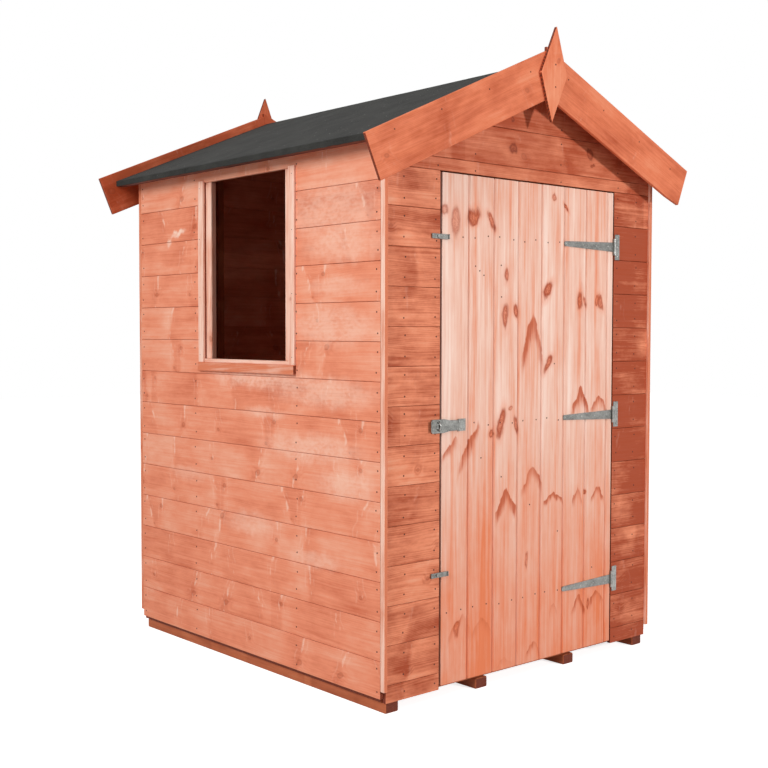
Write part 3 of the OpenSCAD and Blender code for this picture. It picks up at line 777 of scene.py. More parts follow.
@dataclass
class Lumber:
    """Boards that are gathered into one piece, each with its own grain.

    Attributes:
        name: the piece's name, which also seeds its random numbers.
        slot: a material slot's name, which is handed to settle.
        material: the timber.
        shade: how deep the boards are coloured, on the whole.
        spread: how much that differs from board to board.
        sawn: how squarely a face has to cut the grain to look sawn, from 0 to 1.
        shaded_side: the direction of the faces that get painted shade.
        side_shade_depth: how much deeper that painted shade makes those faces.
        side_shade_reach: how squarely a face has to look that way to get it, from 0 to 1.
        chance: the piece's random numbers.
        points: the corners so far.
        faces: each face's corners, by number.
        grain: each corner's place in its board.
        tones: each corner's tone.
        ends: how much each face takes the sawn ends' colour, which on the window lining also paints
            shade.
        side_shades: how much painted shade each face has.
    """

    name: str
    slot: str
    material: Material
    shade: float = 0.0
    spread: float = 0.07
    sawn: float = 0.8
    shaded_side: Vector = field(default_factory=Vector)
    side_shade_depth: float = 0.55
    side_shade_reach: float = 0.8
    chance: random.Random = field(init=False)
    points: list[Sequence[float]] = field(init=False, default_factory=list)
    faces: list[list[int]] = field(init=False, default_factory=list)
    grain: list[float] = field(init=False, default_factory=list)
    tones: list[float] = field(init=False, default_factory=list)
    ends: list[float] = field(init=False, default_factory=list)
    side_shades: list[float] = field(init=False, default_factory=list)

    def __post_init__(self) -> None:
        """Seeds the piece's random numbers with its name."""
        self.chance = random.Random(self.name)

    def new_tone(self) -> Tone:
        """Draws the next board's own tone."""
        shade = self.shade + self.chance.gauss(0, self.spread)
        return Tone(shade, self.chance.random(), self.chance.random())

    def board(self, outline: Sequence[Point2], start: float, end: float, place: Matrix,
              tone: Tone, cuts: Sequence[Plane] = ()) -> None:
        """Adds one board of an even section.

        Args:
            outline: the section, as distances across and into the board.
            start: where the board starts along its own length.
            end: where it ends.
            place: from the board's along, across and depth to the frame's axes.
            tone: the board's own tone.
            cuts: planes that trim it, each a point and a normal that points at the waste.
        """
        shape = bmesh.new()
        near = [shape.verts.new((start, across, depth)) for across, depth in outline]
        far = [shape.verts.new((end, across, depth)) for across, depth in outline]
        shape.faces.new(near)
        shape.faces.new(far[::-1])
        for i in range(len(outline)):
            j = (i + 1) % len(outline)
            shape.faces.new((near[j], near[i], far[i], far[j]))
        shape.transform(place)
        for point, normal in cuts:
            trim(shape, point, normal)
        if shape.faces:
            bmesh.ops.recalc_face_normals(shape, faces=shape.faces[:])
            self.solid(shape, place, tone)
        shape.free()

    def solid(self, shape: BMesh, place: Matrix, tone: Tone, bare_and_shade: float = 0.0) -> None:
        """Adds a closed shape and stamps its grain.

        Args:
            shape: the solid, in the frame's axes.
            place: from the board's own axes to the frame's.
            tone: the board's own tone.
            bare_and_shade: how much the faces take the sawn ends' dark colour, from 0 to 1; on the window
                lining this is bare timber with painted shade.
        """
        back = place.inverted()
        turn = back.to_3x3()
        first = len(self.points)
        shape.verts.index_update()
        shape.normal_update()
        for vert in shape.verts:
            self.points.append(vert.co[:])
            self.grain.extend(back @ vert.co)
            self.tones.extend((tone.shade, tone.first, tone.second))
        for face in shape.faces:
            self.faces.append([first + vert.index for vert in face.verts])
            self.ends.append(1.0 if abs((turn @ face.normal).x) > self.sawn else bare_and_shade)
            # faces that look the shaded way get painted shade
            facing = face.normal.dot(self.shaded_side) > self.side_shade_reach
            self.side_shades.append(self.side_shade_depth if facing else 0.0)

    def dress(self, node: str, axis: Optional[Vector] = None, edge: float = 1.2 * MM,
              cuts: Sequence[Plane] = (), shades: Sequence[float] = (), bare_and_shade: float = 0.0,
              rounds: int = 1) -> "Lumber":
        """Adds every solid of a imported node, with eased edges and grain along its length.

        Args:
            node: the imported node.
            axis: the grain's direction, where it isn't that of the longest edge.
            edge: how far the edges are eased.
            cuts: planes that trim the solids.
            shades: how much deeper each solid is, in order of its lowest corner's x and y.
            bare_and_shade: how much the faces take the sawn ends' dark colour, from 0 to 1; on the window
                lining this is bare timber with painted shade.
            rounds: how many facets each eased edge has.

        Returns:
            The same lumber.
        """
        for number, shape in enumerate(solids_of(node)):
            for point, normal in cuts:
                trim(shape, point, normal)
            place = grain_place(shape, axis)
            sharp = [rim for rim in shape.edges
                     if len(rim.link_faces) == 2 and rim.calc_face_angle() > SHARP]
            bmesh.ops.bevel(shape, geom=sharp, offset=edge, segments=rounds, affect="EDGES",
                            profile=0.5)
            bmesh.ops.recalc_face_normals(shape, faces=shape.faces[:])
            tone = self.new_tone()
            if shades:
                tone = replace(tone, shade=tone.shade + shades[number])
            self.solid(shape, place, tone, bare_and_shade)
            shape.free()
        return self

    def deliver(self, body: str, *nodes: str) -> Object:
        """Makes the piece.

        Args:
            body: the body that it rides on.
            nodes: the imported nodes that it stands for.

        Returns:
            The finished object.
        """
        mesh = bpy.data.meshes.new(self.name)
        mesh.from_pydata(self.points, [], self.faces)
        mesh.attributes.new("grain", "FLOAT_VECTOR", "POINT").data.foreach_set("vector", self.grain)
        mesh.attributes.new("tone", "FLOAT_VECTOR", "POINT").data.foreach_set("vector", self.tones)
        mesh.attributes.new("end", "FLOAT", "FACE").data.foreach_set("value", self.ends)
        mesh.attributes.new("painted_side_shade", "FLOAT", "FACE").data.foreach_set("value", self.side_shades)
        return settle(mesh, self.material, self.slot, body, *nodes)


def settle(mesh: Mesh, material: Material, slot: str, body: str, *nodes: str) -> Object:
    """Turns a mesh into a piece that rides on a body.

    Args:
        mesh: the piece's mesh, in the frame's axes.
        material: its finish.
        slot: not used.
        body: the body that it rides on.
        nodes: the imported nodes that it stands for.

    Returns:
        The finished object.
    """
    mesh.materials.append(material)
    piece = bpy.data.objects.new(mesh.name, mesh)
    bpy.context.scene.collection.objects.link(piece)
    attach(piece, body)
    if nodes:
        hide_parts(*nodes)
    LOG.info("%s: %d faces on %s", mesh.name, len(mesh.polygons), body)
    return piece


def trim(shape: BMesh, point: Vector, normal: Vector) -> None:
    """Cuts off what lies on the normal's side of a plane, and closes the cut.

    Args:
        shape: the solid to cut.
        point: a point of the plane.
        normal: the plane's normal, towards the waste.
    """
    geometry = shape.verts[:] + shape.edges[:] + shape.faces[:]
    bmesh.ops.bisect_plane(shape, geom=geometry, dist=1e-6, plane_co=point, plane_no=normal,
                           clear_outer=True)
    rims = [edge for edge in shape.edges if edge.is_boundary]
    if rims:
        bmesh.ops.holes_fill(shape, edges=rims, sides=0)


def solids_of(node: str) -> list[BMesh]:
    """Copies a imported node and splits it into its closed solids.

    Args:
        node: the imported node's name.

    Returns:
        One mesh for each solid, with its flat faces whole.
    """
    whole = bmesh.new()
    whole.from_mesh(bpy.data.objects[node].data)
    bmesh.ops.remove_doubles(whole, verts=whole.verts[:], dist=0.01 * MM)
    left = dict.fromkeys(whole.faces)
    found = []
    while left:
        stack = [left.popitem()[0]]
        group = list(stack)
        while stack:
            for edge in stack.pop().edges:
                if len(edge.link_faces) == 2:
                    fresh = [face for face in edge.link_faces if face in left]
                    for face in fresh:
                        del left[face]
                    stack.extend(fresh)
                    group.extend(fresh)
        part = bmesh.new()
        copies = {}
        for face in group:
            for vert in face.verts:
                if vert not in copies:
                    copies[vert] = part.verts.new(vert.co)
            part.faces.new([copies[vert] for vert in face.verts])
        bmesh.ops.dissolve_limit(part, angle_limit=math.radians(1), verts=part.verts[:],
                                 edges=part.edges[:])
        found.append(part)
    whole.free()
    found.sort(key=lambda part: tuple(round(c, 4) for c in min(vert.co[:] for vert in part.verts)))
    return found


def grain_place(shape: BMesh, axis: Optional[Vector]) -> Matrix:
    """Finds a timber's own axes from its shape.

    Args:
        shape: the timber.
        axis: the grain's direction, or nothing for that of the longest edge.

    Returns:
        The matrix from along, across and depth to the frame's axes.
    """
    if axis is None:
        longest = max(shape.edges, key=lambda edge: edge.calc_length())
        axis = longest.verts[1].co - longest.verts[0].co
    along = axis.normalized()
    flat = [face for face in shape.faces if abs(face.normal.dot(along)) < 0.3]
    broad = max(flat, key=lambda face: face.calc_area())
    depth = (broad.normal - along * broad.normal.dot(along)).normalized()
    across = depth.cross(along)
    middle = sum((vert.co for vert in shape.verts), Vector()) / len(shape.verts)
    return own_axes(along, across, depth, middle)


def own_axes(along: Vector, across: Vector, depth: Vector, origin: Vector) -> Matrix:
    """The matrix from a board's own axes to the frame's."""
    return Matrix.Translation(origin) @ Matrix((along, across, depth)).transposed().to_4x4()


# ---- fixings


@dataclass
class Fixings:
    """Nail heads or screw heads of one part of the shed, gathered into one piece.

    Attributes:
        name: the piece's name.
        material: the heads' finish.
        slot: a material slot's name, which is handed to settle.
        points: the corners so far.
        faces: each face's corners, by number.
    """

    name: str
    material: Material
    slot: str = "zinc_plate"
    points: list[Vector] = field(init=False, default_factory=list)
    faces: list[list[int]] = field(init=False, default_factory=list)

    def lathe(self, centre: Vector, out: Vector, rings: Sequence[Sequence[float]], count: int,
              deep: float) -> None:
        """Adds a round head.

        Args:
            centre: the middle of its foot, on the surface that it is driven into.
            out: the direction that it faces.
            rings: radius, height and how far every other point is drawn in, foot first.
            count: points in each ring.
            deep: height of the middle point that closes it.
        """
        side = out.orthogonal().normalized()
        other = out.cross(side)
        first = len(self.points)
        for radius, height, star in rings:
            for i in range(count):
                turn = 2 * math.pi * i / count
                reach = radius * (1 - star * (i % 2))
                arm = side * math.cos(turn) + other * math.sin(turn)
                self.points.append(centre + out * height + arm * reach)
        self.points.append(centre + out * deep)
        self.faces.append([first + i for i in range(count)][::-1])
        for ring in range(len(rings) - 1):
            for i in range(count):
                j = (i + 1) % count
                low = first + ring * count
                self.faces.append([low + i, low + j, low + count + j, low + count + i])
        low = first + (len(rings) - 1) * count
        for i in range(count):
            self.faces.append([low + i, low + (i + 1) % count, len(self.points) - 1])

    def nail(self, place: Vector, out: Vector, radius: float = 2.6 * MM) -> None:
        """Adds a flat nail head, driven almost flush."""
        rings = [(radius, -0.3 * MM, 0), (radius, 0.25 * MM, 0), (radius * 0.7, 0.5 * MM, 0)]
        self.lathe(place, out, rings, 10, 0.55 * MM)

    def screw(self, place: Vector, out: Vector, radius: float = 3.4 * MM) -> None:
        """Adds a domed screw head with a star recess."""
        rings = [(radius, -0.3 * MM, 0), (radius, 0.3 * MM, 0), (radius * 0.85, 0.9 * MM, 0),
                 (radius * 0.55, 1.25 * MM, 0), (radius * 0.5, 1.25 * MM, 0.5),
                 (radius * 0.36, 0.5 * MM, 0.5)]
        self.lathe(place, out, rings, 16, 0.5 * MM)

    def deliver(self, body: str) -> Object:
        """Makes the piece.

        Args:
            body: the body that it rides on.

        Returns:
            The finished object.
        """
        mesh = bpy.data.meshes.new(self.name)
        mesh.from_pydata([point[:] for point in self.points], [], self.faces)
        return settle(mesh, self.material, self.slot, body)


# ---- finishes and shape shared by all


@dataclass
class Finishes:
    """Every material of the shed, made once."""

    wall: Material = field(default_factory=WALL_FINISH.build)
    left: Material = field(default_factory=LEFT_FINISH.build)
    gable: Material = field(default_factory=GABLE_FINISH.build)
    panel: Material = field(default_factory=PANEL_FINISH.build)
    roof: Material = field(default_factory=ROOF_TIMBER_FINISH.build)
    batten: Material = field(default_factory=SHADED_BATTEN_FINISH.build)
    framing: Material = field(default_factory=FRAMING_FINISH.build)
    trim: Material = field(default_factory=TRIM_FINISH.build)
    door: Material = field(default_factory=DOOR_FINISH.build)
    felt: Material = field(default_factory=FELT_FINISH.build)
    strap: Material = field(default_factory=STRAP_FINISH.build)
    plate: Material = field(default_factory=PLATE_FINISH.build)
    nail: Material = field(default_factory=NAIL_FINISH.build)


@dataclass
class RoofShape:
    """The plane under each slope of roof boards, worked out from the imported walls.

    Attributes:
        ridge: the height where the two planes meet.
        slope: how far a plane falls for each metre away from the ridge.
        pitch: the planes' angle to the level, in radians.
    """

    ridge: float = field(init=False)
    slope: float = field(init=False)
    pitch: float = field(init=False)

    def __post_init__(self) -> None:
        """Reads the ridge height and the slope from the rear gable and the right wall."""
        self.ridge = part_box("rear_wall")[1].z
        wall_low, wall_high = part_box("right_wall")
        self.slope = (self.ridge - wall_high.z) / wall_low.x
        self.pitch = math.atan(self.slope)

    def down(self, side: int) -> Vector:
        """The direction down a slope, on the left for -1 and on the right for 1."""
        return Vector((side * math.cos(self.pitch), 0, -math.sin(self.pitch)))

    def out(self, side: int) -> Vector:
        """The direction out of a slope, on the left for -1 and on the right for 1."""
        return Vector((side * math.sin(self.pitch), 0, math.cos(self.pitch)))

    def cuts(self) -> list[Plane]:
        """The two planes that trim a wall under the roof."""
        top = Vector((0, 0, self.ridge))
        return [(top, self.out(side)) for side in (-1, 1)]


class Facing(Enum):
    """Which way a wall faces: the directions along it and out of it."""

    LEFT = (Vector((0, 1, 0)), Vector((-1, 0, 0)))
    RIGHT = (Vector((0, 1, 0)), Vector((1, 0, 0)))
    FRONT = (Vector((1, 0, 0)), Vector((0, -1, 0)))
    REAR = (Vector((1, 0, 0)), Vector((0, 1, 0)))

    @property
    def along(self) -> Vector:
        """The level direction along the wall."""
        return self.value[0]

    @property
    def out(self) -> Vector:
        """The direction out of the wall."""
        return self.value[1]


# ---- walls


@dataclass
class Hole:
    """A hole in a wall.

    Attributes:
        start: where it starts along the wall.
        end: where it ends along the wall.
        foot: height of its lower edge.
        head: height of its upper edge.
    """

    start: float
    end: float
    foot: float
    head: float


@dataclass
class Cladding:
    """One wall's shiplap boards, each lapped over the one below.

    Attributes:
        name: the piece's name.
        nodes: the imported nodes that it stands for.
        facing: which way the wall faces.
        roof: the roof that trims it.
        joint: height of any one joint between two boards.
        shade: how deep the boards are coloured.
        hole: a hole in the wall, if it has one.
        nail_columns: places along the wall where every board is nailed twice.
        cover: how much of each board shows.
        flat_head: whether the wall ends level, below the roof.
        lap: how far a board reaches behind the one above.
        face_gap: the open joint that shows between two boards.
        edge_round: how far the boards' edges are eased.
        rebate_play: how much deeper a board's rebate is than the tongue in it.
        nail_steps: heights of a board's two nails over its middle, as shares of its cover.
        nail_drift: how far a nail strays along the board.
        nail_stray: how far a nail strays up or down.
        foot_margin: least height of a nail over the wall's foot.
        head_margin: the same under the wall's upper edge.
        low: the wall's lowest corner.
        high: the wall's highest corner.
    """

    name: str
    nodes: tuple[str, ...]
    facing: Facing
    roof: RoofShape
    joint: float
    shade: float = 0.0
    hole: Optional[Hole] = None
    nail_columns: tuple[float, ...] = ()
    cover: float = 113 * MM
    flat_head: bool = False
    lap: float = 7 * MM
    face_gap: float = 1.3 * MM
    edge_round: float = 1.3 * MM
    rebate_play: float = 0.1 * MM
    nail_steps: tuple[float, float] = (-0.27, 0.26)
    nail_drift: float = 4 * MM
    nail_stray: float = 5 * MM
    foot_margin: float = 8 * MM
    head_margin: float = 12 * MM
    low: Vector = field(init=False)
    high: Vector = field(init=False)

    def __post_init__(self) -> None:
        """Reads the wall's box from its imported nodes."""
        boxes = [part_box(node) for node in self.nodes]
        self.low = Vector(min(box[0][i] for box in boxes) for i in range(3))
        self.high = Vector(max(box[1][i] for box in boxes) for i in range(3))

    @property
    def thickness(self) -> float:
        """The boards' thickness."""
        return abs((self.high - self.low).dot(self.facing.out))

    def outline(self) -> list[Point2]:
        """Draws one board: rebated behind its foot, with a tongue at its head.

        Returns:
            The section, as distances across and into the board.
        """
        half, thick, soft = self.cover / 2, self.thickness, self.edge_round
        middle, shoulder = thick / 2, self.cover / 2 - self.face_gap
        tongue, rebate = half + self.lap - self.face_gap, middle + self.rebate_play
        facet = 0.3 * soft
        return [
            (-half, thick - soft), (-half + facet, thick - facet), (-half + soft, thick),
            (shoulder - soft, thick), (shoulder - facet, thick - facet),
            (shoulder, thick - soft), (shoulder, middle), (tongue, middle), (tongue, 0.0),
            (-half + self.lap, 0.0), (-half + self.lap, rebate), (-half, rebate),
        ]

    def rows(self) -> list[float]:
        """Spaces the boards out over the wall.

        Returns:
            Heights of the boards' middle lines, from the foot to the head.
        """
        first = math.floor((self.low.z - self.joint) / self.cover)
        last = math.ceil((self.high.z - self.joint) / self.cover)
        return [self.joint + (row + 0.5) * self.cover for row in range(first, last)]

    def build(self, material: Material, nails: Material) -> None:
        """Makes the boards and their nails.

        Args:
            material: the boards' finish.
            nails: the nails' finish.
        """
        stock = Lumber(self.name, "wall_boards", material, self.shade)
        along, out = self.facing.along, self.facing.out
        start, end = self.low.dot(along), self.high.dot(along)
        inner = min(abs(self.low.dot(out)), abs(self.high.dot(out)))
        cuts = [(Vector((0, 0, self.low.z)), -UP), *self.roof.cuts()]
        if self.flat_head:
            cuts.append((Vector((0, 0, self.high.z)), UP))
        heads = Fixings(self.name + "_nails", nails)
        for row in self.rows():
            tone = stock.new_tone()
            place = own_axes(along, UP, out, out * inner + UP * row)
            for first, last, extra in self.lengths(row, start, end):
                stock.board(self.outline(), first, last, place, tone, [*cuts, *extra])
            self.nail_row(heads, row, inner, stock.chance)
        stock.deliver("shed", *self.nodes)
        if heads.points:
            heads.deliver("shed")

    def lengths(self, row: float, start: float, end: float) -> list[tuple[float, float, list[Plane]]]:
        """Splits a row round the hole.

        Args:
            row: the height of the row's middle line.
            start: where the wall starts.
            end: where it ends.

        Returns:
            Start, end and extra cuts of each length.
        """
        hole = self.hole
        foot, head = row - self.cover / 2, row + self.cover / 2 + self.lap
        if hole is None or head <= hole.foot or foot >= hole.head:
            return [(start, end, [])]
        pieces: list[tuple[float, float, list[Plane]]] = [(start, hole.start, []), (hole.end, end, [])]
        if foot < hole.foot:
            pieces.append((hole.start, hole.end, [(UP * hole.foot, UP)]))
        if head > hole.head:
            pieces.append((hole.start, hole.end, [(UP * hole.head, -UP)]))
        return pieces

    def nail_row(self, heads: Fixings, row: float, inner: float, chance: random.Random) -> None:
        """Drives two nails through a board at every column.

        Args:
            heads: the wall's nails.
            row: the height of the board's middle line.
            inner: how far out the wall's inner face is.
            chance: the wall's random numbers.
        """
        along, out = self.facing.along, self.facing.out
        face = out * (inner + self.thickness)
        on_gable = self.facing in (Facing.FRONT, Facing.REAR)
        for column in self.nail_columns:
            for step in self.nail_steps:
                drift = chance.uniform(-self.nail_drift, self.nail_drift)
                height = row + step * self.cover + chance.uniform(-self.nail_stray, self.nail_stray)
                edge = self.roof.ridge - self.roof.slope * abs(column if on_gable else inner)
                if self.low.z + self.foot_margin < height < min(edge, self.high.z) - self.head_margin:
                    heads.nail(face + along * (column + drift) + UP * height, out)


@dataclass
class Walls:
    """The four clad walls, their frames inside, and the corner strips.

    Attributes:
        finishes: every material.
        roof: the roof that trims the walls.
        side_joint: height of one joint between the side walls' boards.
        gable_lift: height of one joint between the gable's boards over the doorway's head.
        strip_edge: how far the corner strips' edges are eased.
        strip_shades: how much deeper each strip is: left front and rear, then right.
        window: the hole in the left wall.
        head: height of the doorway's head.
    """

    finishes: Finishes
    roof: RoofShape
    side_joint: float = 154 * MM
    gable_lift: float = 38 * MM
    strip_edge: float = 1.0 * MM
    strip_shades: tuple[float, ...] = (0.0, 0.42, 0.15, 0.4)
    window: Hole = field(init=False)
    head: float = field(init=False)

    def __post_init__(self) -> None:
        """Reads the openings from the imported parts."""
        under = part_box("left_wall_lower")
        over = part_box("left_wall_upper")
        self.window = Hole(under[0].y, under[1].y, under[1].z, over[0].z)
        self.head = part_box("front_gable")[0].z

    def build(self) -> None:
        """Makes the walls."""
        for material, wall in self.claddings():
            wall.build(material, self.finishes.nail)
        self.frames()
        self.strips()

    def claddings(self) -> list[tuple[Material, Cladding]]:
        """Lists every wall's boards, in the order in which they are made.

        Returns:
            The finish and the boards of each wall.
        """
        finishes, roof, head = self.finishes, self.roof, self.head
        left_nodes = ("left_wall_front", "left_wall_rear", "left_wall_lower", "left_wall_upper")
        return [
            (finishes.left, Cladding(
                "left_wall_boards", left_nodes, Facing.LEFT, roof, self.side_joint, shade=0.0,
                hole=self.window, nail_columns=(-0.647, -0.271, 0.301, 0.647))),
            (finishes.wall, Cladding(
                "right_wall_boards", ("right_wall",), Facing.RIGHT, roof, self.side_joint, shade=0.05,
                nail_columns=(-0.647, -0.215, 0.215, 0.647))),
            (finishes.wall, Cladding(
                "rear_wall_boards", ("rear_wall",), Facing.REAR, roof, head, shade=0.1,
                nail_columns=(-0.555, -0.289, 0.289, 0.555))),
            (finishes.panel, Cladding(
                "front_left_boards", ("front_wall_left",), Facing.FRONT, roof, head, shade=0.16,
                nail_columns=(-0.529, -0.408), flat_head=True)),
            (finishes.panel, Cladding(
                "front_right_boards", ("front_wall_right",), Facing.FRONT, roof, head, shade=0.50,
                nail_columns=(0.430, 0.529), flat_head=True)),
            (finishes.gable, Cladding(
                "front_gable_boards", ("front_gable",), Facing.FRONT, roof, head + self.gable_lift,
                shade=0.29, nail_columns=(-0.4, -0.25, 0.142, 0.43))),
        ]

    def frames(self) -> None:
        """Makes the studs, rails and rafters inside each wall."""
        for node in ("left_wall_frame", "right_wall_frame", "rear_wall_frame", "front_wall_frame"):
            stock = Lumber(node.replace("_frame", "_studs"), "framing", self.finishes.framing)
            stock.dress(node).deliver("shed", node)

    def strips(self) -> None:
        """Makes the pale strips that cover the corners."""
        # the strips' front faces get painted shade, which leaves their side faces paler
        stock = Lumber("corner_cover_strips", "trim_timber", self.finishes.trim, shade=0.0,
                       spread=0.02, shaded_side=Facing.FRONT.out)
        stock.dress("corner_strips", edge=self.strip_edge, shades=self.strip_shades)
        stock.deliver("shed", "corner_strips")


@dataclass
class Window:
    """The window's trims, lining and sill.

    Attributes:
        finishes: every material.
        spread: how much the tone differs from one timber to the next.
        trim_shade: how deep the trims are coloured.
        sill_shade: how deep the sill is coloured.
        shade_line: how far into the wall the lining keeps the trim's colour.
        bare_and_shade: how much the lining beyond that takes the dark end-grain colour, from 0 to 1: bare
            timber with painted shade of the reveal.
        pin_inset: distance from a trim's outer edge to its pins.
        pin_radius: radius of a pin's head.
        pin_heights: heights of a trim's pins, as shares of its length.
    """

    finishes: Finishes
    spread: float = 0.04
    trim_shade: float = -0.05
    sill_shade: float = 0.42
    shade_line: float = 13 * MM
    bare_and_shade: float = 0.8
    pin_inset: float = 11 * MM
    pin_radius: float = 1.4 * MM
    pin_heights: tuple[float, ...] = (0.04, 0.36, 0.68, 0.96)

    def build(self) -> None:
        """Makes the window's timber and the trims' pins."""
        for name, node, shade in (("window_cover_trims", "window_trims", self.trim_shade),
                                  ("window_sill_board", "window_sill", self.sill_shade)):
            stock = Lumber(name, "trim_timber", self.finishes.trim, shade, self.spread)
            stock.dress(node).deliver("shed", node)
        self.lining()
        self.pins()

    def lining(self) -> None:
        """Makes the lining of the hole, whose inner part is bare timber with painted shade of the reveal.
        """
        shade_line = Vector((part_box("window_frame")[0].x + self.shade_line, 0, 0))
        stock = Lumber("window_lining", "trim_timber", self.finishes.trim, 0.0, self.spread)
        stock.dress("window_frame", cuts=[(shade_line, Facing.RIGHT.out)])
        # the inner part takes the end-grain colour: painted shade of the reveal over bare timber
        stock.dress("window_frame", cuts=[(shade_line, Facing.LEFT.out)], bare_and_shade=self.bare_and_shade)
        stock.deliver("shed", "window_frame")

    def pins(self) -> None:
        """Drives the pins that hold the trims."""
        low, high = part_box("window_trims")
        heads = Fixings("window_trim_pins", self.finishes.nail)
        for side in (low.y + self.pin_inset, high.y - self.pin_inset):
            for share in self.pin_heights:
                place = Vector((low.x, side, low.z + share * (high.z - low.z)))
                heads.nail(place, Facing.LEFT.out, self.pin_radius)
        heads.deliver("shed")


# ---- base and roof


@dataclass
class Base:
    """The bearers and the boarded floor.

    Attributes:
        finishes: every material.
        bearer_shade: how deep the bearers are coloured.
        bearer_edge: how far the bearers' edges are rounded.
        bearer_rounds: facets of each rounded edge.
        floor_spread: how much the tone differs from one floor board to the next.
        floor_cover: about how much of each floor board shows.
        floor_gap: half the open joint between two floor boards.
        floor_edge: how far the floor boards' upper edges are eased.
    """

    finishes: Finishes
    bearer_shade: float = 0.22
    bearer_edge: float = 5.0 * MM
    bearer_rounds: int = 3
    floor_spread: float = 0.1
    floor_cover: float = 110 * MM
    floor_gap: float = 0.3 * MM
    floor_edge: float = 1.0 * MM

    def build(self) -> None:
        """Makes the bearers and the floor."""
        stock = Lumber("base_bearers", "framing", self.finishes.framing, self.bearer_shade)
        stock.dress("bearers", edge=self.bearer_edge, rounds=self.bearer_rounds)
        stock.deliver("shed", "bearers")
        self.floor()

    def floor(self) -> None:
        """Makes the floor boards, which run from side to side."""
        low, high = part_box("floor")
        count = round((high.y - low.y) / self.floor_cover)
        width = (high.y - low.y) / count
        soft, thick = self.floor_edge, high.z - low.z
        half = width / 2 - self.floor_gap
        outline = [(-half, 0), (half, 0), (half, thick - soft), (half - soft, thick),
                   (-half + soft, thick), (-half, thick - soft)]
        stock = Lumber("floor_boards", "framing", self.finishes.framing, 0.0, self.floor_spread)
        for i in range(count):
            origin = Vector((0, low.y + (i + 0.5) * width, low.z))
            place = own_axes(Vector((1, 0, 0)), Vector((0, 1, 0)), UP, origin)
            stock.board(outline, low.x, high.x, place, stock.new_tone())
        stock.deliver("shed", "floor")


@dataclass
class FeltSheet:
    """One sheet of felt, slightly wavy and folded down over the eaves.

    Attributes:
        node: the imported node.
        side: -1 for the left slope, 1 for the right one.
        roof: the roof under it.
        thick: the sheet's thickness.
        corner: radius of the fold at the eaves.
        fold_turns: the fold's direction at each of its points, in degrees.
        steps: points from the ridge to the fold.
        rows: strips from gable to gable.
        wave: height of the broad waves, in millimetres.
        ripple: height of the small ripples, in millimetres.
        hem_wave: how far the folded edge waves in and out, in millimetres.
        hem_rise: how far its foot rises, on the whole.
        low: the sheet's lowest corner.
        high: the sheet's highest corner.
    """

    node: str
    side: int
    roof: RoofShape
    thick: float = 3 * MM
    corner: float = 4 * MM
    fold_turns: tuple[int, ...] = (30, 50, 70, 90)
    steps: int = 26
    rows: int = 110
    wave: float = 0.9
    ripple: float = 0.35
    hem_wave: float = 1.2
    hem_rise: float = 1.6 * MM
    low: Vector = field(init=False)
    high: Vector = field(init=False)

    def __post_init__(self) -> None:
        """Reads the sheet's box."""
        self.low, self.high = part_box(self.node)

    @property
    def reach(self) -> float:
        """Distance from the ridge to the folded edge."""
        return max(abs(self.low.x), abs(self.high.x))

    def top(self, x: float) -> float:
        """Height of the sheet's face at a distance from the ridge."""
        return self.high.z - self.roof.slope * x

    def face(self) -> list[Point2]:
        """Draws the face, from the ridge over the fold to the foot of the folded edge.

        Returns:
            Its points, as distances from the ridge and heights.
        """
        end, corner = self.reach, self.corner
        bend = [(end - corner + corner * math.sin(turn),
                 self.top(end - corner) - corner + corner * math.cos(turn))
                for turn in (math.radians(degrees) for degrees in self.fold_turns)]
        slope = [((end - corner) * i / self.steps, self.top((end - corner) * i / self.steps))
                 for i in range(self.steps)]
        hem = [(end, self.low.z + 8 * MM), (end, self.low.z + 3 * MM), (end, self.low.z)]
        return slope + bend + hem

    def back(self) -> list[Point2]:
        """Draws the underside, from the foot of the folded edge up to the ridge.

        Returns:
            Its points, as distances from the ridge and heights.
        """
        inner = self.reach - self.thick
        drop = self.thick / math.cos(self.roof.pitch)
        places = [inner * (1 - i / self.steps) for i in range(1, self.steps + 1)]
        return [(inner, self.low.z), (inner, self.top(self.reach) + 1 * MM),
                *((x, self.top(x) - drop) for x in places)]

    def point(self, x: float, y: float, z: float, outside: bool) -> Triple:
        """Lifts one point of the flat sheet to where it lies on the roof.

        Args:
            x: its distance from the ridge.
            y: its place from gable to gable.
            z: its height.
            outside: whether it is on the face.

        Returns:
            The point in the frame's axes.
        """
        lift = drop = 0.0
        if outside:
            wave = noise.noise(Vector((x * 5, y * 4, 0.3)))
            ripple = noise.noise(Vector((x * 24, y * 16, 4.0)))
            lift = (self.wave * wave + self.ripple * ripple) * MM
        if z < self.low.z + 9 * MM:
            lift = (self.hem_wave * noise.noise(Vector((self.side * 9, y * 11, 2.0)))) * MM
        if z < self.low.z + 2 * MM:
            drop = self.hem_rise * (1 + noise.noise(Vector((self.side * 5, y * 30, 7.0))))
        on_fold = x > self.reach - 2 * self.corner
        grown = x + (lift if on_fold and outside else 0.0)
        risen = z + (lift if outside and not on_fold else 0.0) + drop
        return self.side * grown, y, risen

    def build(self, material: Material) -> None:
        """Makes the sheet.

        Args:
            material: the felt's finish.
        """
        face = self.face()
        section = face + self.back()
        rows, count = self.rows, len(section)
        shape = bmesh.new()
        corners = []
        for row in range(rows + 1):
            y = self.low.y + (self.high.y - self.low.y) * row / rows
            for i, (x, z) in enumerate(section):
                corners.append(shape.verts.new(self.point(x, y, z, i < len(face))))
        for row in range(rows):
            here, ahead = row * count, (row + 1) * count
            for i in range(count):
                j = (i + 1) % count
                shape.faces.new([corners[k] for k in (here + i, here + j, ahead + j, ahead + i)])
        shape.faces.new(corners[:count])
        shape.faces.new(corners[-count:])
        bmesh.ops.recalc_face_normals(shape, faces=shape.faces[:])
        mesh = bpy.data.meshes.new(self.node + "_sheet")
        shape.to_mesh(mesh)
        shape.free()
        mesh.shade_smooth()
        mesh.set_sharp_from_angle(angle=math.radians(40))
        settle(mesh, material, "roof_felt", "shed", self.node)


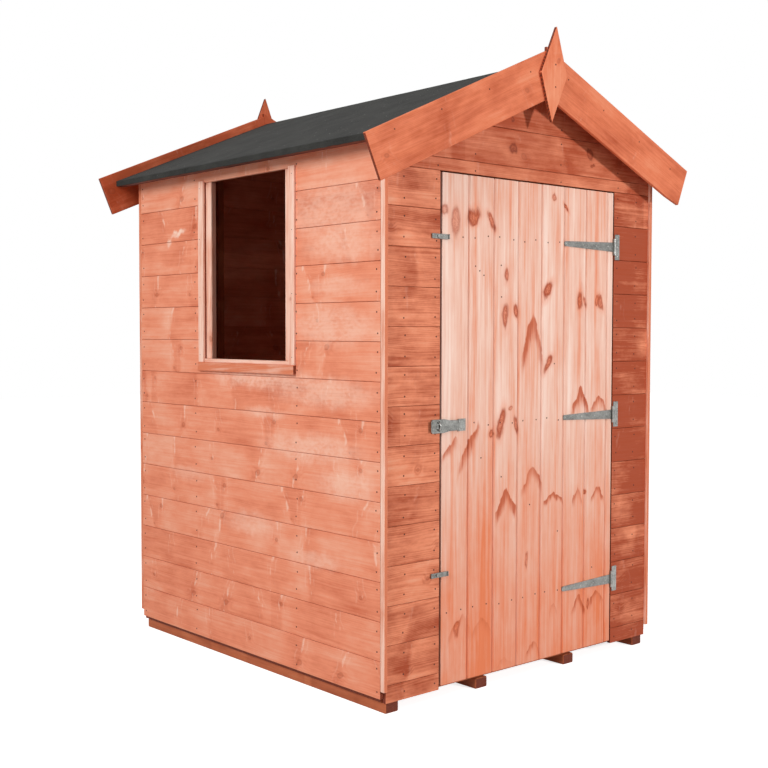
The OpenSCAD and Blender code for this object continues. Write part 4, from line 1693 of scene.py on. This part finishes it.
@dataclass
class Roof:
    """Roof boards, battens, felt, bargeboards and finials.

    Attributes:
        finishes: every material.
        shape: the planes under the roof boards.
        deck_count: roof boards on each slope.
        deck_gap: half the open joint between two roof boards.
        deck_edge: how far the roof boards' lower edges are eased.
        deck_lap: how much wider the topmost board is, to reach over the ridge's middle.
        deck_shade: how deep the roof boards are coloured.
        deck_spread: how much that differs from board to board.
        batten_shade: how deep the battens are coloured, over their dark colours of painted shade.
        verge_edge: how far the edges of bargeboards and finials are eased.
        verge_spread: how much the tone differs from one bargeboard to the next.
        finial_spread: the same for the finials.
        finial_sawn: how squarely a finial's face has to cut the grain to look sawn.
        finial_nails: heights of a finial's nails over its middle.
        finial_nail_shift: how far they are off its middle line.
        nail_shares: places of a bargeboard's nails, as shares of its width.
        nail_lift: their height over the underside of the roof boards.
        nail_radius: radius of their heads.
        chip_place: the chip's place in from the right bargeboard's end and up from its foot.
        chip_slant: the level and upright parts of the direction in which it looks.
    """

    finishes: Finishes
    shape: RoofShape
    deck_count: int = 7
    deck_gap: float = 0.2 * MM
    deck_edge: float = 1.5 * MM
    deck_lap: float = 8 * MM
    deck_shade: float = 0.12
    deck_spread: float = 0.1
    batten_shade: float = 0.1
    verge_edge: float = 1.5 * MM
    verge_spread: float = 0.04
    finial_spread: float = 0.02
    finial_sawn: float = 0.3
    finial_nails: tuple[float, float] = (-38 * MM, 30 * MM)
    finial_nail_shift: float = 4 * MM
    nail_shares: tuple[float, ...] = (0.12, 0.36, 0.62, 0.86)
    nail_lift: float = 4 * MM
    nail_radius: float = 2.4 * MM
    chip_place: Point2 = (51 * MM, 4.5 * MM)
    chip_slant: Point2 = (-0.35, -1)

    def build(self) -> None:
        """Makes the whole roof."""
        for side, name in ((-1, "left"), (1, "right")):
            self.slope_boards(side, f"{name}_roof_boards")
            FeltSheet(f"{name}_felt", side, self.shape).build(self.finishes.felt)
        stock = Lumber("eaves_battens_and_purlins", "roof_timber", self.finishes.batten,
                       self.batten_shade)
        stock.dress("roof_battens").deliver("shed", "roof_battens")
        self.verges()

    def slope_boards(self, side: int, node: str) -> None:
        """Makes one slope's boards, which run from gable to gable.

        Args:
            side: -1 for the left slope, 1 for the right one.
            node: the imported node.
        """
        low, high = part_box(node)
        pitch = self.shape.pitch
        edge = max(abs(low.x), abs(high.x))
        thick = (high.z - low.z - edge * self.shape.slope) * math.cos(pitch)
        top = high.z - thick / math.cos(pitch)
        length = edge / math.cos(pitch) + thick * math.tan(pitch)
        down = self.shape.down(side)
        width = length / self.deck_count
        half, soft = width / 2 - self.deck_gap, self.deck_edge
        outline = [(-half + soft, 0), (half - soft, 0), (half, soft), (half, thick), (-half, thick),
                   (-half, soft)]
        topmost = [(-half - self.deck_lap if across < 0 else across, depth) for across, depth in outline]
        cuts = [(Vector((0, 0, 0)), Vector((-side, 0, 0))),
                (Vector((side * edge, 0, 0)), Vector((side, 0, 0)))]
        stock = Lumber(node.replace("_boards", "_deck"), "roof_timber", self.finishes.roof,
                       self.deck_shade, self.deck_spread)
        for i in range(self.deck_count):
            origin = Vector((0, 0, top)) + down * ((i + 0.5) * width)
            place = own_axes(Vector((0, 1, 0)), down, self.shape.out(side), origin)
            stock.board(outline if i else topmost, low.y, high.y, place, stock.new_tone(), cuts)
        stock.deliver("shed", node)

    def verges(self) -> None:
        """Makes the bargeboards and finials with their nails."""
        heads = Fixings("verge_nails", self.finishes.nail)
        # the rear bargeboards and finial are 0.45 deeper: painted shade on their inner faces, which face
        # the front under the roof
        for end, out, shade in (("front", Facing.FRONT.out, 0.05), ("rear", Facing.REAR.out, 0.45)):
            for side, name in ((-1, "left"), (1, "right")):
                node = f"{end}_{name}_bargeboard"
                stock = Lumber(node + "_plank", "roof_timber", self.finishes.roof, shade,
                               self.verge_spread)
                chipped = end == "front" and name == "right"
                stock.dress(node, edge=self.verge_edge, cuts=[self.chip(node)] if chipped else ())
                stock.deliver("shed", node)
                self.verge_nails(heads, node, side, out)
            self.finial(heads, end, out, shade)
        heads.deliver("shed")

    def chip(self, node: str) -> Plane:
        """A small chip off the lower corner of a right bargeboard's foot."""
        (inset, rise), (level, upright) = self.chip_place, self.chip_slant
        corner = Vector((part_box(node)[1].x - inset, 0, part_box(node)[0].z + rise))
        return corner, Vector((level, 0, upright)).normalized()

    def verge_nails(self, heads: Fixings, node: str, side: int, out: Vector) -> None:
        """Nails one bargeboard to the roof boards' edge.

        Args:
            heads: the verges' nails.
            node: the bargeboard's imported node.
            side: -1 for the left slope, 1 for the right one.
            out: the direction out of the gable.
        """
        low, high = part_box(node)
        face = max(abs(low.y), abs(high.y))
        for share in self.nail_shares:
            x = side * share * max(abs(low.x), abs(high.x))
            z = self.shape.ridge - self.shape.slope * abs(x) + self.nail_lift
            heads.nail(Vector((x, 0, z)) + out * face, out, self.nail_radius)

    def finial(self, heads: Fixings, end: str, out: Vector, shade: float) -> None:
        """Makes one gable's diamond and nails it over the bargeboards' joint.

        Args:
            heads: the verges' nails.
            end: which gable it is, "front" or "rear".
            out: the direction out of the gable.
            shade: how deep the timber is coloured, which at the rear includes painted shade.
        """
        node = f"{end}_finial"
        low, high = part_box(node)
        lean = math.atan2((low.x + high.x) / 2, high.z - low.z) if end == "front" else 0.0
        stock = Lumber(node + "_diamond", "roof_timber", self.finishes.roof, shade,
                       self.finial_spread, self.finial_sawn)
        stock.dress(node, axis=Vector((math.sin(lean), 0, math.cos(lean))), edge=self.verge_edge)
        stock.deliver("shed", node)
        middle = (low + high) / 2
        face = max(abs(low.y), abs(high.y))
        for step in self.finial_nails:
            place = Vector((middle.x + self.finial_nail_shift, 0, middle.z + step))
            heads.nail(place + out * face, out)


# ---- door and ironmongery


@dataclass
class Door:
    """The ledged and braced door of tongued and grooved boards.

    Attributes:
        finishes: every material.
        cover: how much of each board shows.
        first_cover: how much of the leftmost board shows.
        groove: width of the chamfer on an edge that meets another board.
        groove_depth: depth of that chamfer.
        slit: how far the chamfer's foot is from the joint.
        own_edge: how far the door's own edges are eased.
        shade: how deep the boards are coloured.
        spread: how much that differs from board to board.
        back_shade: how deep the ledges and braces are coloured.
        nail_radius: radius of a nail's head.
        ledge_boards: boards, from the left, that show the ledges' nails.
        ledge_nails: places of a board's two nails in a ledge, as shares of its width.
        nail_drift: how far such a nail strays to either side.
        nail_sink: how far it strays down.
        nail_rise: how far it strays up.
        brace_nails: places of the braces' nails, across and up.
        low: the door's lowest corner.
        high: the door's highest corner.
    """

    finishes: Finishes
    cover: float = 108.2 * MM
    first_cover: float = 110.3 * MM
    groove: float = 5.0 * MM
    groove_depth: float = 4.5 * MM
    slit: float = 0.9 * MM
    own_edge: float = 1.0 * MM
    shade: float = -0.08
    spread: float = 0.03
    back_shade: float = -0.15
    nail_radius: float = 2.4 * MM
    ledge_boards: int = 5
    ledge_nails: tuple[float, float] = (0.23, 0.75)
    nail_drift: float = 4 * MM
    nail_sink: float = 7 * MM
    nail_rise: float = 5 * MM
    brace_nails: tuple[Point2, ...] = (
        (-0.244, 1.281), (-0.226, 1.268), (-0.208, 1.255), (-0.133, 1.288), (-0.131, 1.192),
        (0.115, 0.985), (-0.217, 0.706), (-0.128, 0.642), (0.002, 0.544), (0.136, 0.446),
        (0.311, 0.306))
    low: Vector = field(init=False)
    high: Vector = field(init=False)

    def __post_init__(self) -> None:
        """Reads the door's box."""
        self.low, self.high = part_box("door_boards")

    def joints(self) -> list[float]:
        """Spaces the boards out over the door.

        Returns:
            Places of the door's own edges and of every joint between two boards.
        """
        places = [self.low.x, self.low.x + self.first_cover]
        while places[-1] + self.cover < self.high.x:
            places.append(places[-1] + self.cover)
        return [*places, self.high.x]

    def outline(self, width: float, first: bool, last: bool) -> list[Point2]:
        """Section of one board, with a chamfer on each edge that meets another board.

        Args:
            width: the board's width.
            first: whether the left edge is the door's own.
            last: whether the right edge is the door's own.

        Returns:
            The section, as distances across and into the board.
        """
        half = width / 2
        thick = self.high.y - self.low.y
        eased, grooved = (self.own_edge, self.own_edge), (self.groove, self.groove_depth)
        left, left_deep = eased if first else grooved
        right, right_deep = eased if last else grooved
        left_in, right_in = (0.0 if first else self.slit), (0.0 if last else self.slit)
        return [
            (-half, 0.0), (half, 0.0), (half, thick / 2), (half - right_in, thick / 2),
            (half - right_in, thick - right_deep), (half - right, thick), (-half + left, thick),
            (-half + left_in, thick - left_deep), (-half + left_in, thick / 2), (-half, thick / 2),
        ]

    def build(self) -> None:
        """Makes the boards, ledges, braces and nails."""
        stock = Lumber("door_matchboards", "door_timber", self.finishes.door, self.shade, self.spread)
        joints = self.joints()
        for left, right in zip(joints, joints[1:]):
            place = own_axes(UP, Vector((1, 0, 0)), Facing.FRONT.out,
                             Vector(((left + right) / 2, self.high.y, 0)))
            outline = self.outline(right - left, left == self.low.x, right == self.high.x)
            stock.board(outline, self.low.z, self.high.z, place, stock.new_tone())
        stock.deliver("door", "door_boards")
        for node in ("door_ledges", "door_braces"):
            stock = Lumber(node + "_back", "door_timber", self.finishes.framing, self.back_shade)
            stock.dress(node).deliver("door", node)
        self.nails(joints)

    def nails(self, joints: Sequence[float]) -> None:
        """Drives the nails that hold the ledges and braces.

        Args:
            joints: places of the boards' edges.
        """
        chance = random.Random("door nails")
        out = Facing.FRONT.out
        heads = Fixings("door_nails", self.finishes.nail)
        straps = [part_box(f"{level}_hinge_strap") for level in ("lower", "middle", "upper")]
        for strap_low, strap_high in straps:
            height = round((strap_low.z + strap_high.z) / 2, 4)
            for left, right in zip(joints[:self.ledge_boards], joints[1:]):
                for share in self.ledge_nails:
                    x = left + share * (right - left) + chance.uniform(-self.nail_drift, self.nail_drift)
                    z = height + chance.uniform(-self.nail_sink, self.nail_rise)
                    heads.nail(Vector((x, self.low.y, z)), out, self.nail_radius)
        for x, z in self.brace_nails:
            heads.nail(Vector((x, self.low.y, z)), out, self.nail_radius)
        heads.deliver("door")


@dataclass
class Ironmongery:
    """Hinges, hasp and turn buttons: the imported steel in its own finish, with screw heads.

    Attributes:
        finishes: every material.
        levels: the three hinges, from the top down.
        strap_screws: each strap screw's place, as a share of the strap's length, and its radius.
        hinge_face: depth of a hinge's front face behind its knuckles.
        plate_screw_inset: distance from a hinge plate's outer edge to its screws.
        plate_screw_steps: their heights over its middle, as shares of its height.
        plate_screw_radius: radius of their heads.
        hasp_face: depth of the hasp's front face behind its knuckle.
        hasp_screw_insets: distances from the hasp plate's right edge to its screws.
        hasp_screw_rise: distance from its upper and lower edges to them.
        hasp_screw_radius: radius of their heads.
    """

    finishes: Finishes
    levels: tuple[str, ...] = ("upper", "middle", "lower")
    strap_screws: tuple[Point2, ...] = (
        (0.04, 2.4 * MM), (0.36, 2.8 * MM), (0.62, 2.8 * MM), (0.86, 2.8 * MM))
    hinge_face: float = 7.8 * MM
    plate_screw_inset: float = 9 * MM
    plate_screw_steps: tuple[float, ...] = (-0.38, 0.0, 0.38)
    plate_screw_radius: float = 3.0 * MM
    hasp_face: float = 5.3 * MM
    hasp_screw_insets: tuple[float, float] = (17 * MM, 6 * MM)
    hasp_screw_rise: float = 6.5 * MM
    hasp_screw_radius: float = 2.6 * MM

    def build(self) -> None:
        """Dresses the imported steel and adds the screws."""
        for level in self.levels:
            self.plate_up(f"{level}_hinge_strap", self.finishes.strap)
            self.plate_up(f"{level}_hinge_plate", self.finishes.plate)
        for node in ("hasp_strap", "upper_turn_button", "lower_turn_button"):
            self.plate_up(node, self.finishes.strap)
        for node in ("hasp_door_plate", "hasp_staple", "turn_button_screws"):
            self.plate_up(node, self.finishes.plate)
        on_door = Fixings("door_screws", self.finishes.plate)
        on_wall = Fixings("wall_screws", self.finishes.plate)
        for level in self.levels:
            self.hinge_screws(level, on_door, on_wall)
        self.hasp_screws(on_door)
        on_door.deliver("door")
        on_wall.deliver("shed")

    def plate_up(self, node: str, material: Material) -> None:
        """Gives a packed steel node its finish.

        Args:
            node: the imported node.
            material: its finish.
        """
        mesh = bpy.data.objects[node].data
        mesh.materials.clear()
        mesh.materials.append(material)
        LOG.info("%s: packed steel in %s", node, material.name)

    def hinge_screws(self, level: str, on_door: Fixings, on_wall: Fixings) -> None:
        """Screws one hinge to the door and to the wall.

        Args:
            level: which hinge it is.
            on_door: the screws that ride on the door.
            on_wall: the screws that stay on the wall.
        """
        low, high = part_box(f"{level}_hinge_strap")
        plate_low, plate_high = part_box(f"{level}_hinge_plate")
        face = low.y + self.hinge_face
        middle = (low.z + high.z) / 2
        for share, radius in self.strap_screws:
            x = low.x + share * (high.x - low.x)
            on_door.screw(Vector((x, face, middle)), Facing.FRONT.out, radius)
        x = plate_high.x - self.plate_screw_inset
        for step in self.plate_screw_steps:
            z = middle + step * (plate_high.z - plate_low.z)
            on_wall.screw(Vector((x, face, z)), Facing.FRONT.out, self.plate_screw_radius)

    def hasp_screws(self, on_door: Fixings) -> None:
        """Screws the hasp to the door.

        Args:
            on_door: the screws that ride on the door.
        """
        low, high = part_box("hasp_door_plate")
        for inset in self.hasp_screw_insets:
            for z in (low.z + self.hasp_screw_rise, high.z - self.hasp_screw_rise):
                place = Vector((high.x - inset, low.y + self.hasp_face, z))
                on_door.screw(place, Facing.FRONT.out, self.hasp_screw_radius)


# ---- studio


@dataclass(frozen=True)
class Lamp:
    """A soft square lamp that faces the shed.

    Attributes:
        name: the lamp's name.
        place: where it hangs.
        size: the length of its side.
        power: its power in watts.
        aim: the height on the shed's middle line that it faces.
    """

    name: str
    place: Triple
    size: float
    power: float
    aim: float = 0.95

    def hang(self) -> None:
        """Adds the lamp to the scene."""
        data = bpy.data.lights.new(self.name, "AREA")
        data.size = self.size
        data.energy = self.power
        lamp = bpy.data.objects.new(self.name, data)
        bpy.context.scene.collection.objects.link(lamp)
        lamp.location = self.place
        aim = Vector((0, 0, self.aim)) - lamp.location
        lamp.rotation_euler = aim.to_track_quat("-Z", "Y").to_euler()


@dataclass
class Studio:
    """The camera, the soft lamps, the pale floor and the white surroundings.

    Attributes:
        eye: where the camera stands.
        yaw: how far it looks to the right of +Y, in radians.
        pitch: how far it looks down, in radians.
        roll: how far it is turned about its own axis, in radians.
        focal_length: the lens, in millimetres.
        sensor_width: the width behind the lens, in millimetres.
        sky: strength of the sky's light on the shed.
        floor_size: the length of the floor's side.
        floor_grey: how pale the floor is to the light that it throws back.
        floor_seen: how much paler it is where it is seen.
        floor_glow: strength of its own white where it is seen.
        lamps: a main one from the left, and a small one in front for the crisp shadows.
    """

    eye: Triple = (-2.7724, -3.1600, 1.0829)
    yaw: float = 0.716450
    pitch: float = 0.043385
    roll: float = 0.001576
    focal_length: float = 55.48
    sensor_width: float = 36.0
    sky: float = 0.36
    floor_size: float = 30.0
    floor_grey: float = 0.5
    floor_seen: float = 0.32
    floor_glow: float = 0.78
    lamps: tuple[Lamp, ...] = (Lamp("key_lamp", (-7.0, -1.8, 4.4), 3.4, 390),
                               Lamp("front_lamp", (1.3, -6.6, 2.5), 0.45, 205))

    def build(self) -> None:
        """Sets the scene round the shed."""
        self.camera()
        self.world()
        self.floor()
        for lamp in self.lamps:
            lamp.hang()
        bpy.context.scene.view_settings.view_transform = "Standard"

    def camera(self) -> None:
        """Places the camera by its eye point and three turns."""
        data = bpy.data.cameras.new("view_camera")
        data.lens = self.focal_length
        data.sensor_width = self.sensor_width
        camera = bpy.data.objects.new("view_camera", data)
        bpy.context.scene.collection.objects.link(camera)
        forward = Vector((math.sin(self.yaw) * math.cos(self.pitch),
                          math.cos(self.yaw) * math.cos(self.pitch), -math.sin(self.pitch)))
        right = Vector((math.cos(self.yaw), -math.sin(self.yaw), 0))
        top = right.cross(forward)
        turned_right = right * math.cos(self.roll) + top * math.sin(self.roll)
        turned_top = top * math.cos(self.roll) - right * math.sin(self.roll)
        camera.matrix_world = own_axes(turned_right, turned_top, -forward, Vector(self.eye))
        bpy.context.scene.camera = camera

    def world(self) -> None:
        """Plain sky light, which looks white where it is seen or mirrored."""
        world = bpy.data.worlds.new("white_surroundings")
        bpy.context.scene.world = world
        world.use_nodes = True
        air = Workings(world.node_tree)
        path = air.node("LightPath", {}).outputs
        seen = air.maths("MAXIMUM", path["Is Camera Ray"], path["Is Transmission Ray"])
        mirrored = air.maths("MAXIMUM", seen, path["Is Glossy Ray"])
        light = air.node("MapRange", {"Value": mirrored, "To Min": self.sky, "To Max": 1.0})
        glow = air.node("Background", {"Color": WHITE, "Strength": light.outputs[0]})
        air.node("OutputWorld", {"Surface": glow.outputs[0]})

    def floor(self) -> None:
        """A wide pale floor that looks white and keeps the shed's shadow."""
        mesh = bpy.data.meshes.new("studio_floor")
        half = self.floor_size / 2
        mesh.from_pydata([(-half, -half, 0), (half, -half, 0), (half, half, 0), (-half, half, 0)],
                         [], [(0, 1, 2, 3)])
        recipe = Recipe("white_floor")
        recipe.surface.inputs["Roughness"].default_value = 0.9
        recipe.surface.inputs["Specular IOR Level"].default_value = 0.0
        path = recipe.node("LightPath", {}).outputs
        seen = recipe.maths("MAXIMUM", path["Is Camera Ray"], path["Is Glossy Ray"])
        seen = recipe.maths("MAXIMUM", seen, path["Is Transmission Ray"])
        grey = recipe.total(recipe.times(seen, self.floor_seen), self.floor_grey)
        recipe.feed(recipe.surface.inputs["Base Color"], grey)
        glow = recipe.node("Emission", {"Color": WHITE, "Strength": self.floor_glow}).outputs[0]
        white = recipe.node("AddShader", {0: recipe.surface.outputs[0], 1: glow}).outputs[0]
        mixed = recipe.node("MixShader", {0: seen, 1: recipe.surface.outputs[0], 2: white})
        recipe.feed(recipe.output.inputs["Surface"], mixed.outputs[0])
        mesh.materials.append(recipe.material)
        floor = bpy.data.objects.new("studio_floor", mesh)
        bpy.context.scene.collection.objects.link(floor)


def main() -> None:
    """Builds the shed's pieces in order, and the studio round them."""
    logging.basicConfig(level=logging.INFO, format="%(name)s: %(message)s")
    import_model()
    finishes = Finishes()
    roof = RoofShape()
    Base(finishes).build()
    Walls(finishes, roof).build()
    Window(finishes).build()
    Roof(finishes, roof).build()
    Door(finishes).build()
    Ironmongery(finishes).build()
    Studio().build()


if __name__ == "__main__":
    main()
